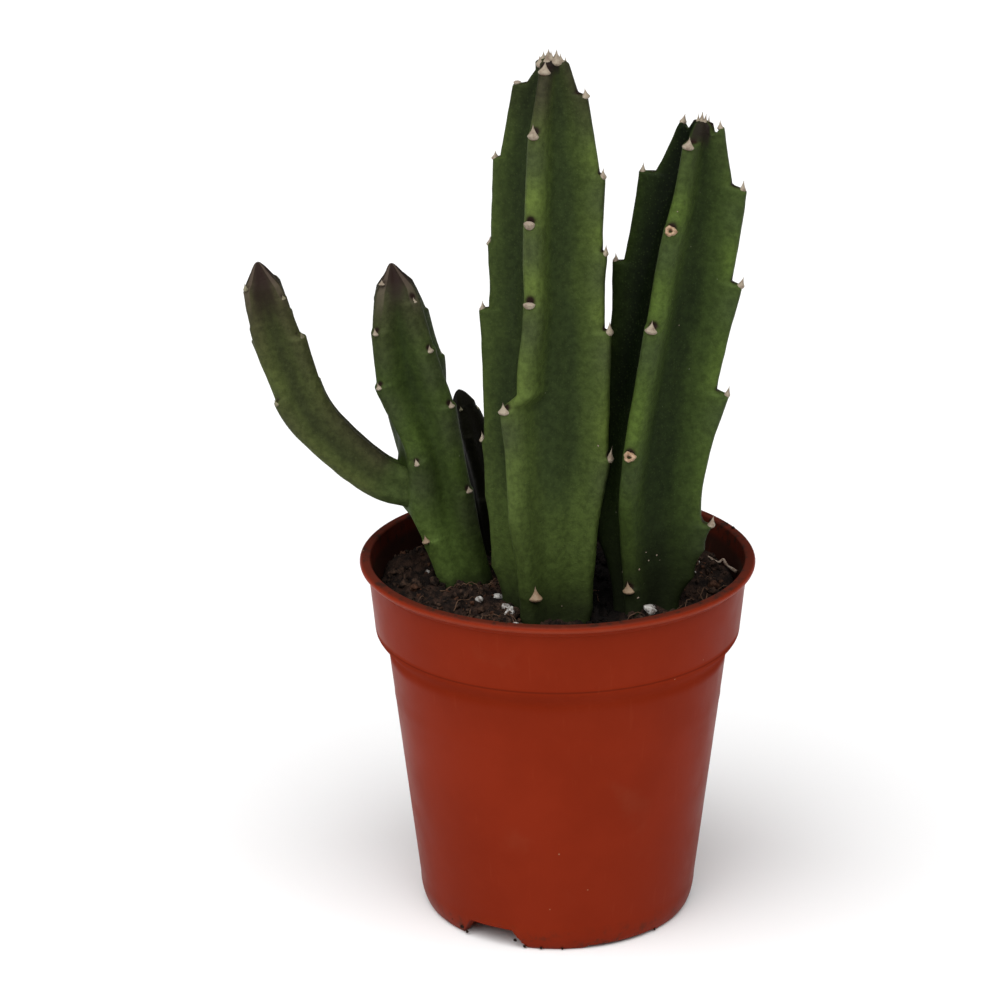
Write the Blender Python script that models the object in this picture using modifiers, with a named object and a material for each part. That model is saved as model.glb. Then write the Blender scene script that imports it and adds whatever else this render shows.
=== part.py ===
"""Potted stapelia: a young four-ribbed carrion plant in a small plastic nursery pot.

The pot, the soil and each of the four rooted stems are one closed solid each. The pot
stands on z = 0 and the whole part's footprint is centred on the origin. The plant leans
to the left, so the pot's own axis stands POT_AXIS_X to the right of the origin. Every
length is in metres, and everything is modelled about the pot's axis.
"""

import math
from dataclasses import dataclass

import bmesh
import bpy
import numpy as np
from mathutils import Matrix, Vector, noise

NAME = "potted_stapelia"

# Where the pot's axis stands in the part's frame
POT_AXIS_X = 0.0076

# Pot
POT_HEIGHT = 0.0518
RIM_RADIUS = 0.0275  # outside of the rolled lip
RIM_INSIDE = 0.0260
LIP_HEIGHT = 0.0014
COLLAR_RADIUS = 0.0265  # outside, just under the lip
COLLAR_TAPER = 0.0010  # how much narrower the collar is at its foot
COLLAR_BOTTOM = 0.0418  # where the collar starts to turn in
SHOULDER_BOTTOM = 0.0386  # where it has met the body
SHOULDER_RADIUS = 0.0237
CORNER_HEIGHT = 0.0039  # soft corner above the foot
CORNER_RADIUS = 0.0196
CORNER_BELLY = (0.4, 0.3)  # how far out and up between the two its middle lies
FOOT_RADIUS = 0.0188
FOOT_WIDTH = 0.0011
WALL = 0.0008
FLOOR_BOTTOM = 0.0032
FLOOR_TOP = 0.0041
INNER_CORNER = 0.0010  # radius between the floor and the wall
LIP_EDGE = 0.0003  # rounding of the lip's inner edge
POT_SIDES = 48

# Cuts in the foot, by azimuth from the front towards +X: three deep, three shallow
NOTCH_AZIMUTHS = (-31.0, 89.0, 209.0)
NOTCH_LENGTH = 0.0106
NOTCH_HEIGHT = 0.0029
RELIEF_LENGTH = 0.0092
RELIEF_HEIGHT = 0.0004
NOTCH_DEPTH = 0.0060  # in and out through the foot ring
NOTCH_CHAMFER = 0.0012
RELIEF_TURN = 60.0  # degrees from a notch to the next relief
DRAIN_HOLES = 6
DRAIN_RADIUS = 0.0018
DRAIN_CIRCLE = 0.0125
DRAIN_SIDES = 12

# Soil
SOIL_LEVEL = 0.0463
SOIL_RELIEF = 0.0009
LUMP_SIZE = 0.0030
LUMP_SLICE = 1.7  # which slice of the noise the lumps are read from
GAP = 0.0003  # between pieces that touch
SIDE_GAP = 0.0004  # the same at the pot's round wall, with room for its facets
HOLE_GAP = 0.00035  # between a stem's foot and the soil round it
HOLE_RISE = 0.005  # how far each hole's cutter reaches above the soil
SOIL_CORNER = 0.0012
SOIL_EDGE = 0.0006  # the surface ends this far in from the wall,
SOIL_EDGE_DROP = 0.0016  # and its edge is this much lower
SOIL_SIDES = 36
SOIL_RINGS = 8
MOUNDS = (  # x, y, height and reach of the higher places
    (-0.016, -0.006, 0.0011, 0.007),
    (0.018, 0.002, 0.0012, 0.007),
    (0.002, 0.014, 0.0008, 0.009),
)

# Ribs, and the teeth along them
RIB_HALF_THICKNESS = 0.00142
VALLEY = 0.47  # a valley's radius as a share of the crests'
CREST_SHARPNESS = 3.5
WIDEST_RIB = 0.62  # most half width of a rib, in radians
BURIED_FROM = 0.2  # the section rounds off between these shares of the way down
BURIED_TO = 0.95
STEP_LENGTH = 0.0005  # a crest falls back within this length above a tooth
FLARE = 2.0  # how late a crest swells out on its way up to the next tooth
TOOTH_LENGTH = 0.0023
TOOTH_ROOT = 0.0007  # how far below its shelf a tooth starts
TOOTH_INSET = 0.0005  # from the crest's edge to the tooth's middle
TOOTH_HALF_WIDTH = 0.00065
TOOTH_THINNESS = 0.70
TOOTH_LEAN = 80.0  # degrees from straight out towards the tip
CROWN_LEAN = 75.0
CROWN_TEETH = 4
CROWN_TURN = 0.35  # where the first of them stands, in spaces between two

# Mesh fineness of the stems
QUARTER_COLUMNS = (0.0, 0.07, 0.16, 0.30, 0.50, 0.70, 0.84, 0.93)
SMALL_COLUMNS = (0.0, 0.12, 0.28, 0.50, 0.72, 0.88)
LONGEST_ROW = 0.0050


@dataclass
class Stem:
    """A four-ribbed stem.

    line: its centreline from the buried foot, or from inside its parent, to the tip.
    ribs: the front, right, back and left rib, each a list of teeth from the lowest up,
    as distance along the line, azimuth in degrees from the front towards +X, the
    crest's radius there, and how far the crest steps back in just above the tooth.
    leaves: distance along the line at which it leaves what it grows from.
    base: crest radius there. foot: radius of the round end inside.
    tip: radius where the rounded tip begins, and nose: that tip's length.
    crown: how far the tip's own teeth stand from its middle, or 0 where it has none.
    """

    line: tuple
    ribs: tuple
    leaves: float
    base: float
    foot: float
    tip: float
    nose: float
    crown: float = 0.0
    half_thickness: float = RIB_HALF_THICKNESS
    valley: float = VALLEY
    columns: tuple = QUARTER_COLUMNS


def opposite(rib, share=1.0):
    """The rib across the stem, whose teeth stand at the same heights."""
    return tuple((at, azimuth + 180.0, radius * share, step) for at, azimuth, radius, step in rib)


TALL_FRONT = (
    (0.0131, -16.8, 0.0065, 0.0003),
    (0.0399, -38.4, 0.0090, 0.0006),
    (0.0543, -16.2, 0.0084, 0.0005),
    (0.0652, -18.3, 0.0077, 0.0005),
    (0.0772, -20.4, 0.0063, 0.0006),
    (0.0849, -21.7, 0.0025, 0.0004),
)
TALL = Stem(
    line=(
        (-0.0012, -0.0070, 0.0370),
        (-0.0013, -0.0070, 0.0469),
        (-0.0014, -0.0065, 0.0683),
        (-0.0014, -0.0060, 0.0876),
        (-0.0014, -0.0055, 0.0986),
        (-0.0010, -0.0055, 0.1130),
        (-0.0008, -0.0055, 0.1232),
    ),
    ribs=(
        TALL_FRONT,
        (
            (0.0318, 73.0, 0.0090, 0.0004),
            (0.0495, 73.0, 0.0089, 0.0009),
            (0.0603, 73.0, 0.0082, 0.0006),
            (0.0710, 73.0, 0.0077, 0.0008),
            (0.0818, 73.0, 0.0051, 0.0014),
        ),
        opposite(TALL_FRONT, 0.95),
        (
            (0.0329, 253.0, 0.0093, 0.0004),
            (0.0514, 253.0, 0.0094, 0.0014),
            (0.0604, 253.0, 0.0081, 0.0004),
            (0.0720, 253.0, 0.0077, 0.0010),
            (0.0820, 253.0, 0.0051, 0.0006),
        ),
    ),
    leaves=0.0100,
    base=0.0064,
    foot=0.0042,
    tip=0.0020,
    nose=0.0007,
    crown=0.0013,
)

RIGHT_FRONT = (
    (0.0136, -28.0, 0.0052, 0.0003),
    (0.0332, -17.2, 0.0088, 0.0004),
    (0.0508, -16.5, 0.0086, 0.0010),
    (0.0641, -18.9, 0.0075, 0.0005),
    (0.0748, -23.0, 0.0046, 0.0016),
)
RIGHT = Stem(
    line=(
        (0.0115, -0.0065, 0.0370),
        (0.0122, -0.0065, 0.0475),
        (0.0114, -0.0060, 0.0619),
        (0.0121, -0.0055, 0.0704),
        (0.0141, -0.0050, 0.0838),
        (0.0158, -0.0045, 0.0941),
        (0.0180, -0.0040, 0.1054),
        (0.0191, -0.0040, 0.1150),
    ),
    ribs=(
        RIGHT_FRONT,
        (
            (0.0224, 77.0, 0.0095, 0.0013),
            (0.0420, 77.0, 0.0102, 0.0018),
            (0.0573, 77.0, 0.0093, 0.0016),
            (0.0699, 77.0, 0.0071, 0.0020),
            (0.0772, 77.0, 0.0031, 0.0013),
        ),
        opposite(RIGHT_FRONT, 0.92),
        (
            (0.0225, 257.0, 0.0076, 0.0008),
            (0.0415, 257.0, 0.0083, 0.0012),
            (0.0569, 257.0, 0.0086, 0.0015),
            (0.0698, 257.0, 0.0075, 0.0022),
            (0.0772, 257.0, 0.0032, 0.0013),
        ),
    ),
    leaves=0.0098,
    base=0.0045,
    foot=0.0036,
    tip=0.0015,
    nose=0.0010,
    crown=0.0006,
)

LEFT_FRONT = (
    (0.0178, -28.6, 0.0058, 0.0003),
    (0.0298, -14.0, 0.0064, 0.0004),
    (0.0412, -39.8, 0.0067, 0.0006),
    (0.0485, -35.0, 0.0056, 0.0005),
    (0.0547, -31.0, 0.0029, 0.0003),
)
LEFT_RIGHT = (
    (0.0236, 44.3, 0.0063, 0.0003),
    (0.0363, 46.0, 0.0068, 0.0006),
    (0.0447, 40.0, 0.0059, 0.0005),
    (0.0517, 40.0, 0.0042, 0.0004),
    (0.0553, 50.0, 0.0021, 0.0002),
)
LEFT = Stem(
    line=(
        (-0.0108, 0.0050, 0.0370),
        (-0.0129, 0.0045, 0.0458),
        (-0.0164, 0.0045, 0.0597),
        (-0.0189, 0.0045, 0.0711),
        (-0.0212, 0.0045, 0.0822),
        (-0.0227, 0.0045, 0.0925),
    ),
    ribs=(
        LEFT_FRONT,
        LEFT_RIGHT,
        opposite(LEFT_FRONT, 0.95),
        opposite(LEFT_RIGHT, 0.95),
    ),
    leaves=0.0098,
    base=0.0050,
    foot=0.0036,
    tip=0.0017,
    nose=0.0022,
    half_thickness=0.0017,
    valley=0.54,
    columns=SMALL_COLUMNS,
)

SIDE_FRONT = (
    (0.0252, -40.0, 0.0046, 0.0006),
    (0.0360, -40.0, 0.0040, 0.0003),
    (0.0415, -40.0, 0.0027, 0.0003),
)
SIDE_RIGHT = (
    (0.0180, 50.0, 0.0042, 0.0001),
    (0.0331, 50.0, 0.0049, 0.0005),
    (0.0390, 50.0, 0.0036, 0.0003),
    (0.0425, 50.0, 0.0023, 0.0002),
)
SIDE_SHOOT = Stem(
    line=(
        (-0.0168, 0.0045, 0.0586),
        (-0.0199, 0.0042, 0.0600),
        (-0.0256, 0.0038, 0.0631),
        (-0.0335, 0.0030, 0.0708),
        (-0.0370, 0.0030, 0.0787),
        (-0.0393, 0.0030, 0.0860),
        (-0.0406, 0.0030, 0.0928),
    ),
    ribs=(
        SIDE_FRONT,
        SIDE_RIGHT,
        opposite(SIDE_FRONT),
        opposite(SIDE_RIGHT),
    ),
    leaves=0.0030,
    base=0.0037,
    foot=0.0026,
    tip=0.0016,
    nose=0.0022,
    half_thickness=0.0013,
    valley=0.68,
    columns=SMALL_COLUMNS,
)

BACK_FRONT = (
    (0.0180, -10.0, 0.0034, 0.0003),
    (0.0275, -10.0, 0.0029, 0.0003),
    (0.0315, -10.0, 0.0016, 0.0002),
)
BACK_RIGHT = (
    (0.0130, 80.0, 0.0036, 0.0003),
    (0.0225, 80.0, 0.0035, 0.0004),
    (0.0305, 80.0, 0.0020, 0.0003),
)
BACK = Stem(
    line=(
        (-0.0055, 0.0140, 0.0380),
        (-0.0083, 0.0145, 0.0478),
        (-0.0101, 0.0148, 0.0566),
        (-0.0122, 0.0150, 0.0645),
        (-0.0139, 0.0150, 0.0703),
    ),
    ribs=(BACK_FRONT, BACK_RIGHT, opposite(BACK_FRONT), opposite(BACK_RIGHT)),
    leaves=0.0090,
    base=0.0034,
    foot=0.0028,
    tip=0.0014,
    nose=0.0015,
    half_thickness=0.0011,
    valley=0.66,
    columns=SMALL_COLUMNS,
)

STEMS = {"stem_tall": TALL, "stem_right": RIGHT, "stem_left": LEFT, "stem_back": BACK}
SIDE_SHOOTS = {"stem_left": SIDE_SHOOT}

# Base colour, roughness and metallic value of each finish
FINISHES = {
    "pot": ((0.24, 0.025, 0.010), 0.38, 0.0),
    "soil": ((0.022, 0.012, 0.008), 0.95, 0.0),
    "stem_tall": ((0.045, 0.090, 0.020), 0.60, 0.0),
    "stem_right": ((0.045, 0.090, 0.020), 0.60, 0.0),
    "stem_left": ((0.055, 0.090, 0.022), 0.60, 0.0),
    "stem_back": ((0.030, 0.022, 0.014), 0.60, 0.0),
}


def collection_named(name):
    found = bpy.data.collections.new(name)
    bpy.context.scene.collection.children.link(found)
    return found


def add_object(name, mesh, collection, axis):
    """A new object standing on the pot's axis."""
    obj = bpy.data.objects.new(name, mesh)
    collection.objects.link(obj)
    obj.parent = axis
    return obj


def evaluated_mesh(obj):
    bpy.context.view_layer.update()
    graph = bpy.context.evaluated_depsgraph_get()
    return bpy.data.meshes.new_from_object(obj.evaluated_get(graph), depsgraph=graph)


def apply_modifiers(obj):
    mesh = evaluated_mesh(obj)
    obj.modifiers.clear()
    obj.data = mesh


def add_cutter(obj, name, cutters, axis):
    """Names a new object and keeps it with the cutters, on the pot's axis."""
    for collection in obj.users_collection:
        collection.objects.unlink(obj)
    cutters.objects.link(obj)
    obj.name = name
    obj.parent = axis
    obj.hide_render = True
    obj.display_type = "WIRE"
    return obj


def cut(obj, cutter):
    modifier = obj.modifiers.new("cut " + cutter.name, "BOOLEAN")
    modifier.operation = "DIFFERENCE"
    modifier.solver = "EXACT"
    modifier.object = cutter


def finish(obj, sharp_angle):
    """The piece's material, and smooth shading on its round faces."""
    colour, roughness, metallic = FINISHES[obj.name]
    material = bpy.data.materials.new(obj.name)
    material.use_nodes = True
    shader = material.node_tree.nodes["Principled BSDF"]
    shader.inputs["Base Color"].default_value = (*colour, 1.0)
    shader.inputs["Roughness"].default_value = roughness
    shader.inputs["Metallic"].default_value = metallic
    obj.data.materials.clear()
    obj.data.materials.append(material)
    obj.data.shade_smooth()
    obj.data.set_sharp_from_angle(angle=math.radians(sharp_angle))


def arc(centre, radius, start, end, steps):
    """Points of an arc in the x-z plane, angles in degrees from +X towards +Z."""
    angles = np.radians(np.linspace(start, end, steps + 1))
    return [(centre[0] + radius * math.cos(a), centre[1] + radius * math.sin(a)) for a in angles]


def turned(name, profile, sides, collection, axis):
    """A solid of revolution: the profile, from axis to axis, swept by a Screw."""
    mesh = bpy.data.meshes.new(name)
    edges = [(i, i + 1) for i in range(len(profile) - 1)]
    mesh.from_pydata([(x, 0.0, z) for x, z in profile], edges, [])
    obj = add_object(name, mesh, collection, axis)
    screw = obj.modifiers.new("turn", "SCREW")
    screw.axis = "Z"
    screw.steps = screw.render_steps = sides
    screw.use_merge_vertices = True
    screw.merge_threshold = 0.00001
    return obj


def wall_inside(z):
    """Inner radius of the pot's body wall at height z."""
    rise = (z - CORNER_HEIGHT) / (SHOULDER_BOTTOM - CORNER_HEIGHT)
    return CORNER_RADIUS + (SHOULDER_RADIUS - CORNER_RADIUS) * rise - WALL


def pot_profile():
    """From the middle of the floor, up inside, over the lip and down outside."""
    corner = (wall_inside(FLOOR_TOP) - INNER_CORNER, FLOOR_TOP + INNER_CORNER)
    inside = [
        (0.0, FLOOR_TOP),
        *arc(corner, INNER_CORNER, -90, 0, 2),
        (SHOULDER_RADIUS - WALL, SHOULDER_BOTTOM),
        (COLLAR_RADIUS - COLLAR_TAPER - WALL, COLLAR_BOTTOM),
    ]
    lip_radius = LIP_HEIGHT / 2
    middle = POT_HEIGHT - lip_radius
    lip = arc((RIM_INSIDE + LIP_EDGE, POT_HEIGHT - LIP_EDGE), LIP_EDGE, 180, 90, 1)
    lip += arc((RIM_RADIUS - lip_radius, middle), lip_radius, 90, -70, 4)
    width = COLLAR_RADIUS - COLLAR_TAPER - SHOULDER_RADIUS
    height = COLLAR_BOTTOM - SHOULDER_BOTTOM
    shoulder = [
        (SHOULDER_RADIUS + width * (1 + math.cos(math.pi * t)) / 2, COLLAR_BOTTOM - height * t)
        for t in (0.0, 0.33, 0.67, 1.0)
    ]
    out, up = CORNER_BELLY
    outside = [
        (COLLAR_RADIUS, POT_HEIGHT - LIP_HEIGHT),
        *shoulder,
        (CORNER_RADIUS, CORNER_HEIGHT),
        (FOOT_RADIUS + out * (CORNER_RADIUS - FOOT_RADIUS), up * CORNER_HEIGHT),
        (FOOT_RADIUS, 0.0),
        (FOOT_RADIUS - FOOT_WIDTH, 0.0),
        (FOOT_RADIUS - FOOT_WIDTH, FLOOR_BOTTOM),
        (0.0, FLOOR_BOTTOM),
    ]
    return inside + lip + outside


def foot_cutter(name, azimuth, length, height, cutters, axis):
    """A block with sloping ends, across the foot ring: it cuts from below."""
    bpy.ops.mesh.primitive_cube_add(size=1)
    block = add_cutter(bpy.context.object, name, cutters, axis)
    for vertex in block.data.vertices:
        upper = vertex.co.z > 0
        along = length / 2 + (-NOTCH_CHAMFER if upper else NOTCH_CHAMFER)
        vertex.co.x = math.copysign(along, vertex.co.x)
        vertex.co.y = math.copysign(NOTCH_DEPTH / 2, vertex.co.y)
        vertex.co.z = height if upper else -NOTCH_CHAMFER
    turn = math.radians(azimuth)
    reach = FOOT_RADIUS - FOOT_WIDTH / 2
    block.location = (reach * math.sin(turn), -reach * math.cos(turn), 0.0)
    block.rotation_euler.z = turn
    return block


def drain_cutter(number, cutters, axis):
    """A drainage hole through the floor."""
    bpy.ops.mesh.primitive_cylinder_add(
        vertices=DRAIN_SIDES, radius=DRAIN_RADIUS, depth=4 * (FLOOR_TOP - FLOOR_BOTTOM)
    )
    hole = add_cutter(bpy.context.object, f"drain_hole_{number}", cutters, axis)
    turn = math.tau * number / DRAIN_HOLES
    middle = (FLOOR_TOP + FLOOR_BOTTOM) / 2
    hole.location = (DRAIN_CIRCLE * math.sin(turn), DRAIN_CIRCLE * math.cos(turn), middle)
    return hole


def make_pot(parts, cutters, axis):
    pot = turned("pot", pot_profile(), POT_SIDES, parts, axis)
    for number, azimuth in enumerate(NOTCH_AZIMUTHS):
        notch = foot_cutter(
            f"notch_{number}", azimuth, NOTCH_LENGTH, NOTCH_HEIGHT, cutters, axis
        )
        relief = foot_cutter(
            f"relief_{number}",
            azimuth + RELIEF_TURN,
            RELIEF_LENGTH,
            RELIEF_HEIGHT,
            cutters,
            axis,
        )
        cut(pot, notch)
        cut(pot, relief)
    for number in range(DRAIN_HOLES):
        cut(pot, drain_cutter(number, cutters, axis))
    apply_modifiers(pot)
    finish(pot, sharp_angle=35)


def smooth_line(points, steps=24):
    """A Catmull-Rom curve through the points, as an array, and the distance along it."""
    known = np.asarray(points, float)
    known = np.vstack([2 * known[0] - known[1], known, 2 * known[-1] - known[-2]])
    a, b, c, d = (known[i : len(known) - 3 + i, None] for i in range(4))
    t = np.linspace(0, 1, steps, endpoint=False)[None, :, None]
    curve = 2 * b + (c - a) * t + (2 * a - 5 * b + 4 * c - d) * t**2
    curve = 0.5 * (curve + (3 * b - a - 3 * c + d) * t**3)
    curve = np.vstack([curve.reshape(-1, 3), known[-2]])
    lengths = np.linalg.norm(np.diff(curve, axis=0), axis=1)
    return curve, np.concatenate([[0.0], np.cumsum(lengths)])


def line_frame(line, distance):
    """Centre, tangent, forward and sideways directions at a distance along a line."""
    curve, along = smooth_line(line)
    slope = np.gradient(curve, along, axis=0)
    centre = np.stack([np.interp(distance, along, curve[:, i]) for i in range(3)], -1)
    tangent = np.stack([np.interp(distance, along, slope[:, i]) for i in range(3)], -1)
    tangent /= np.linalg.norm(tangent, axis=-1, keepdims=True)
    forward = np.array([0.0, -1.0, 0.0]) + tangent[..., 1:2] * tangent
    forward /= np.linalg.norm(forward, axis=-1, keepdims=True)
    return centre, tangent, forward, np.cross(tangent, forward)


def line_length(stem):
    return smooth_line(stem.line)[1][-1]


def ease(t):
    t = np.clip(t, 0.0, 1.0)
    return t * t * (3 - 2 * t)


def rib_stations(stem, rib):
    """Foot, base, teeth and tip of a rib: distances, azimuths, crest radii and steps."""
    distances, azimuths, radii, steps = np.array(rib).T
    distances = np.concatenate([[0.0, stem.leaves], distances, [line_length(stem)]])
    azimuths = np.concatenate([azimuths[[0, 0]], azimuths, azimuths[[-1]]])
    radii = np.concatenate([[stem.foot, stem.base], radii, [stem.tip]])
    steps = np.concatenate([[0.0, 0.0], steps, [0.0]])
    return distances, np.radians(azimuths), radii, steps


def crest(stem, rib, distance):
    """Azimuth and radius of a rib's crest: it swells to a tooth, then steps back."""
    at, azimuths, peaks, steps = rib_stations(stem, rib)
    i = np.clip(np.searchsorted(at, distance, side="right") - 1, 0, len(at) - 2)
    span = at[i + 1] - at[i]
    azimuth = azimuths[i] + (azimuths[i + 1] - azimuths[i]) * ease((distance - at[i]) / span)
    fallen = peaks[i] - steps[i]
    start = at[i] + np.where(steps[i] > 0, STEP_LENGTH, 0.0)
    rise = np.clip((distance - start) / (at[i + 1] - start), 0.0, 1.0)
    power = np.where((peaks[i + 1] > fallen) & (i > 0), FLARE, 1.0)
    rising = fallen + (peaks[i + 1] - fallen) * rise**power
    falling = peaks[i] + (fallen - peaks[i]) * ease((distance - at[i]) / STEP_LENGTH)
    return azimuth, np.where(distance < start, falling, rising)


def skin(stem, distance, around, grow=0.0):
    """Points of a stem's skin at a distance along it and at so many quarter turns.

    The radius is the valley's, plus for each rib the crest's height over the valley
    times 1 / (1 + (angle from the crest / half width) ** CREST_SHARPNESS).
    """
    crests = [crest(stem, rib, distance) for rib in stem.ribs]
    azimuths = np.stack([azimuth for azimuth, _ in crests] + [crests[0][0] + math.tau])
    radii = np.stack([radius for _, radius in crests])
    quarter = np.floor(around).astype(int)
    low = np.take_along_axis(azimuths, quarter[None], 0)[0]
    high = np.take_along_axis(azimuths, quarter[None] + 1, 0)[0]
    angle = low + (high - low) * (around - quarter)
    rounding = 1 - ease((distance / stem.leaves - BURIED_FROM) / (BURIED_TO - BURIED_FROM))
    valley = radii.mean(0) * (stem.valley + (1 - stem.valley) * rounding)
    radius = valley.copy()
    for azimuth, peak in zip(azimuths[:4], radii):
        away = np.abs((angle - azimuth + math.pi) % math.tau - math.pi)
        half_width = 2 * (stem.half_thickness + grow) / (peak + valley)
        half_width = np.minimum(half_width, WIDEST_RIB)
        radius += (peak - valley) / (1 + (away / half_width) ** CREST_SHARPNESS)
    into_nose = np.clip((distance - line_length(stem) + stem.nose) / stem.nose, 0.0, 1.0)
    radius = radius * np.sqrt(1 - into_nose**2) + grow
    centre, _, forward, side = line_frame(stem.line, distance)
    out = np.cos(angle)[..., None] * forward + np.sin(angle)[..., None] * side
    return centre + radius[..., None] * out


def pair_stations(stem):
    """Mean distances of the stations of the front and back ribs, and of the side ones."""
    own = [rib_stations(stem, rib)[0] for rib in stem.ribs]
    return (own[0] + own[2]) / 2, (own[1] + own[3]) / 2


def row_heights(stem, top):
    """Row distances on the mean of opposite ribs: at and above each tooth, and between."""
    first, second = pair_stations(stem)
    teeth = np.concatenate([first[2:-1], second[2:-1]])
    nose = line_length(stem) - stem.nose * np.array([1.0, 0.5, 0.1])
    wanted = np.concatenate([first[:2], teeth, teeth + STEP_LENGTH, nose, [top]])
    rows = [0.0]
    for height in np.sort(wanted):
        gap = height - rows[-1]
        if height > min(top, nose[-1]) or gap < 0.9 * STEP_LENGTH:
            continue
        more = math.ceil(gap / LONGEST_ROW)
        rows += list(rows[-1] + gap * np.arange(1, more + 1) / more)
    return np.array(rows)


def follow_teeth(stem, rows, around):
    """Distances along the stem of each row's points, so that rows meet the teeth."""
    pairs = pair_stations(stem)
    own = [
        np.interp(rows, pairs[i % 2], rib_stations(stem, rib)[0])
        for i, rib in enumerate(stem.ribs)
    ]
    own = np.stack(own + own[:1])
    quarter = np.floor(around).astype(int)
    share = ease(around - quarter)
    return own[quarter].T * (1 - share) + own[quarter + 1].T * share


def loft(stem, columns, top=math.inf, grow=0.0):
    """A closed mesh of a stem, from its foot to its tip or to the distance top."""
    around = np.array([quarter + column for quarter in range(4) for column in columns])
    rows = row_heights(stem, top)
    distances = follow_teeth(stem, rows, around)
    points = skin(stem, distances, np.broadcast_to(around, distances.shape), grow)
    count, sides = distances.shape
    ends = np.array([0.0, min(top, line_length(stem))])
    (foot, tip), tangents, _, _ = line_frame(stem.line, ends)
    points[0] -= grow * tangents[0]
    foot -= grow * tangents[0]
    vertices = np.vstack([points.reshape(-1, 3), foot, tip])
    lower, upper = count * sides, count * sides + 1
    faces = []
    for row in range(count - 1):
        for side in range(sides):
            a, b = row * sides + side, row * sides + (side + 1) % sides
            faces += [(a, b, b + sides), (a, b + sides, a + sides)]
    last = (count - 1) * sides
    for side in range(sides):
        turn = (side + 1) % sides
        faces += [(turn, side, lower), (last + side, last + turn, upper)]
    mesh = bpy.data.meshes.new("stem")
    mesh.from_pydata([tuple(v) for v in vertices], [], faces)
    return mesh


def tooth_mesh():
    """One leaf rudiment: a flat four-sided spike along +Z, its root at the origin."""
    shape = bmesh.new()
    bmesh.ops.create_cone(
        shape,
        cap_ends=True,
        segments=4,
        radius1=TOOTH_HALF_WIDTH * math.sqrt(2),
        radius2=0,
        depth=TOOTH_LENGTH,
        matrix=Matrix.Translation((0, 0, TOOTH_LENGTH / 2)) @ Matrix.Rotation(math.pi / 4, 4, "Z"),
    )
    bmesh.ops.scale(shape, vec=(1.0, TOOTH_THINNESS, 1.0), verts=shape.verts)
    mesh = bpy.data.meshes.new("tooth")
    shape.to_mesh(mesh)
    shape.free()
    return mesh


def place_tooth(mesh, root, out, tangent, lean, collection, axis):
    """A tooth rooted under a crest, leaning from straight out towards the tip."""
    turn = math.radians(lean)
    ahead = (math.cos(turn) * Vector(out) + math.sin(turn) * Vector(tangent)).normalized()
    across = Vector(tangent).cross(Vector(out)).normalized()
    flat = ahead.cross(across)
    tooth = add_object("tooth", mesh, collection, axis)
    basis = Matrix((across, flat, ahead)).transposed()
    tooth.matrix_local = Matrix.Translation(Vector(root)) @ basis.to_4x4()
    return tooth


def around_line(stem, distance, angle):
    """Centre, outward direction at an angle from the front, and tangent of a line."""
    centre, tangent, forward, side = line_frame(stem.line, distance)
    return centre, math.cos(angle) * forward + math.sin(angle) * side, tangent


def add_teeth(stem, collection, axis):
    """A tooth at the edge of each step in the ribs, and a crown of them at the tip."""
    mesh = tooth_mesh()
    for rib in stem.ribs:
        for distance, azimuth, radius, _ in rib:
            centre, out, tangent = around_line(stem, distance, math.radians(azimuth))
            root = centre + (radius - TOOTH_INSET) * out - TOOTH_ROOT * tangent
            place_tooth(mesh, root, out, tangent, TOOTH_LEAN, collection, axis)
    if not stem.crown:
        return
    for number in range(CROWN_TEETH):
        angle = math.tau * (number + CROWN_TURN) / CROWN_TEETH
        base = line_length(stem) - stem.nose - TOOTH_ROOT
        centre, out, tangent = around_line(stem, base, angle)
        root = centre + stem.crown * out
        place_tooth(mesh, root, out, tangent, CROWN_LEAN, collection, axis)


def make_stem(name, stem, parts, axis):
    """A stem with its side shoot and its teeth, joined into one solid."""
    obj = add_object(name, loft(stem, stem.columns), parts, axis)
    joined = collection_named(name + "_joined")
    add_teeth(stem, joined, axis)
    if name in SIDE_SHOOTS:
        shoot = SIDE_SHOOTS[name]
        add_object(name + "_side_shoot", loft(shoot, shoot.columns), joined, axis)
        add_teeth(shoot, joined, axis)
    union = obj.modifiers.new("teeth", "BOOLEAN")
    union.operation = "UNION"
    union.solver = "EXACT"
    union.operand_type = "COLLECTION"
    union.collection = joined
    apply_modifiers(obj)
    for piece in list(joined.objects):
        bpy.data.objects.remove(piece)
    bpy.data.collections.remove(joined)
    finish(obj, sharp_angle=50)


def soil_height(x, y):
    """The soil's uneven surface: a level, a few mounds and small lumps."""
    height = SOIL_LEVEL
    for mound_x, mound_y, rise, reach in MOUNDS:
        height += rise * math.exp(-((x - mound_x) ** 2 + (y - mound_y) ** 2) / reach**2)
    lumps = noise.noise(Vector((x / LUMP_SIZE, y / LUMP_SIZE, LUMP_SLICE)))
    return height + SOIL_RELIEF * lumps


def soil_profile():
    """From the middle of the surface, over its edge and down to the floor's middle."""
    low = FLOOR_TOP + GAP
    floor_edge = wall_inside(low) - SIDE_GAP
    collar_inside = COLLAR_RADIUS - COLLAR_TAPER - WALL - SIDE_GAP
    rings = np.linspace(0, collar_inside, SOIL_RINGS + 1)[:-1]
    return [
        *((radius, SOIL_LEVEL) for radius in rings),
        (collar_inside - SOIL_EDGE, SOIL_LEVEL),
        (collar_inside, SOIL_LEVEL - SOIL_EDGE_DROP),
        (collar_inside, COLLAR_BOTTOM),
        (SHOULDER_RADIUS - WALL - SIDE_GAP, SHOULDER_BOTTOM),
        (floor_edge, low + SOIL_CORNER),
        (floor_edge - SOIL_CORNER, low),
        (0.0, low),
    ]


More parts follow.
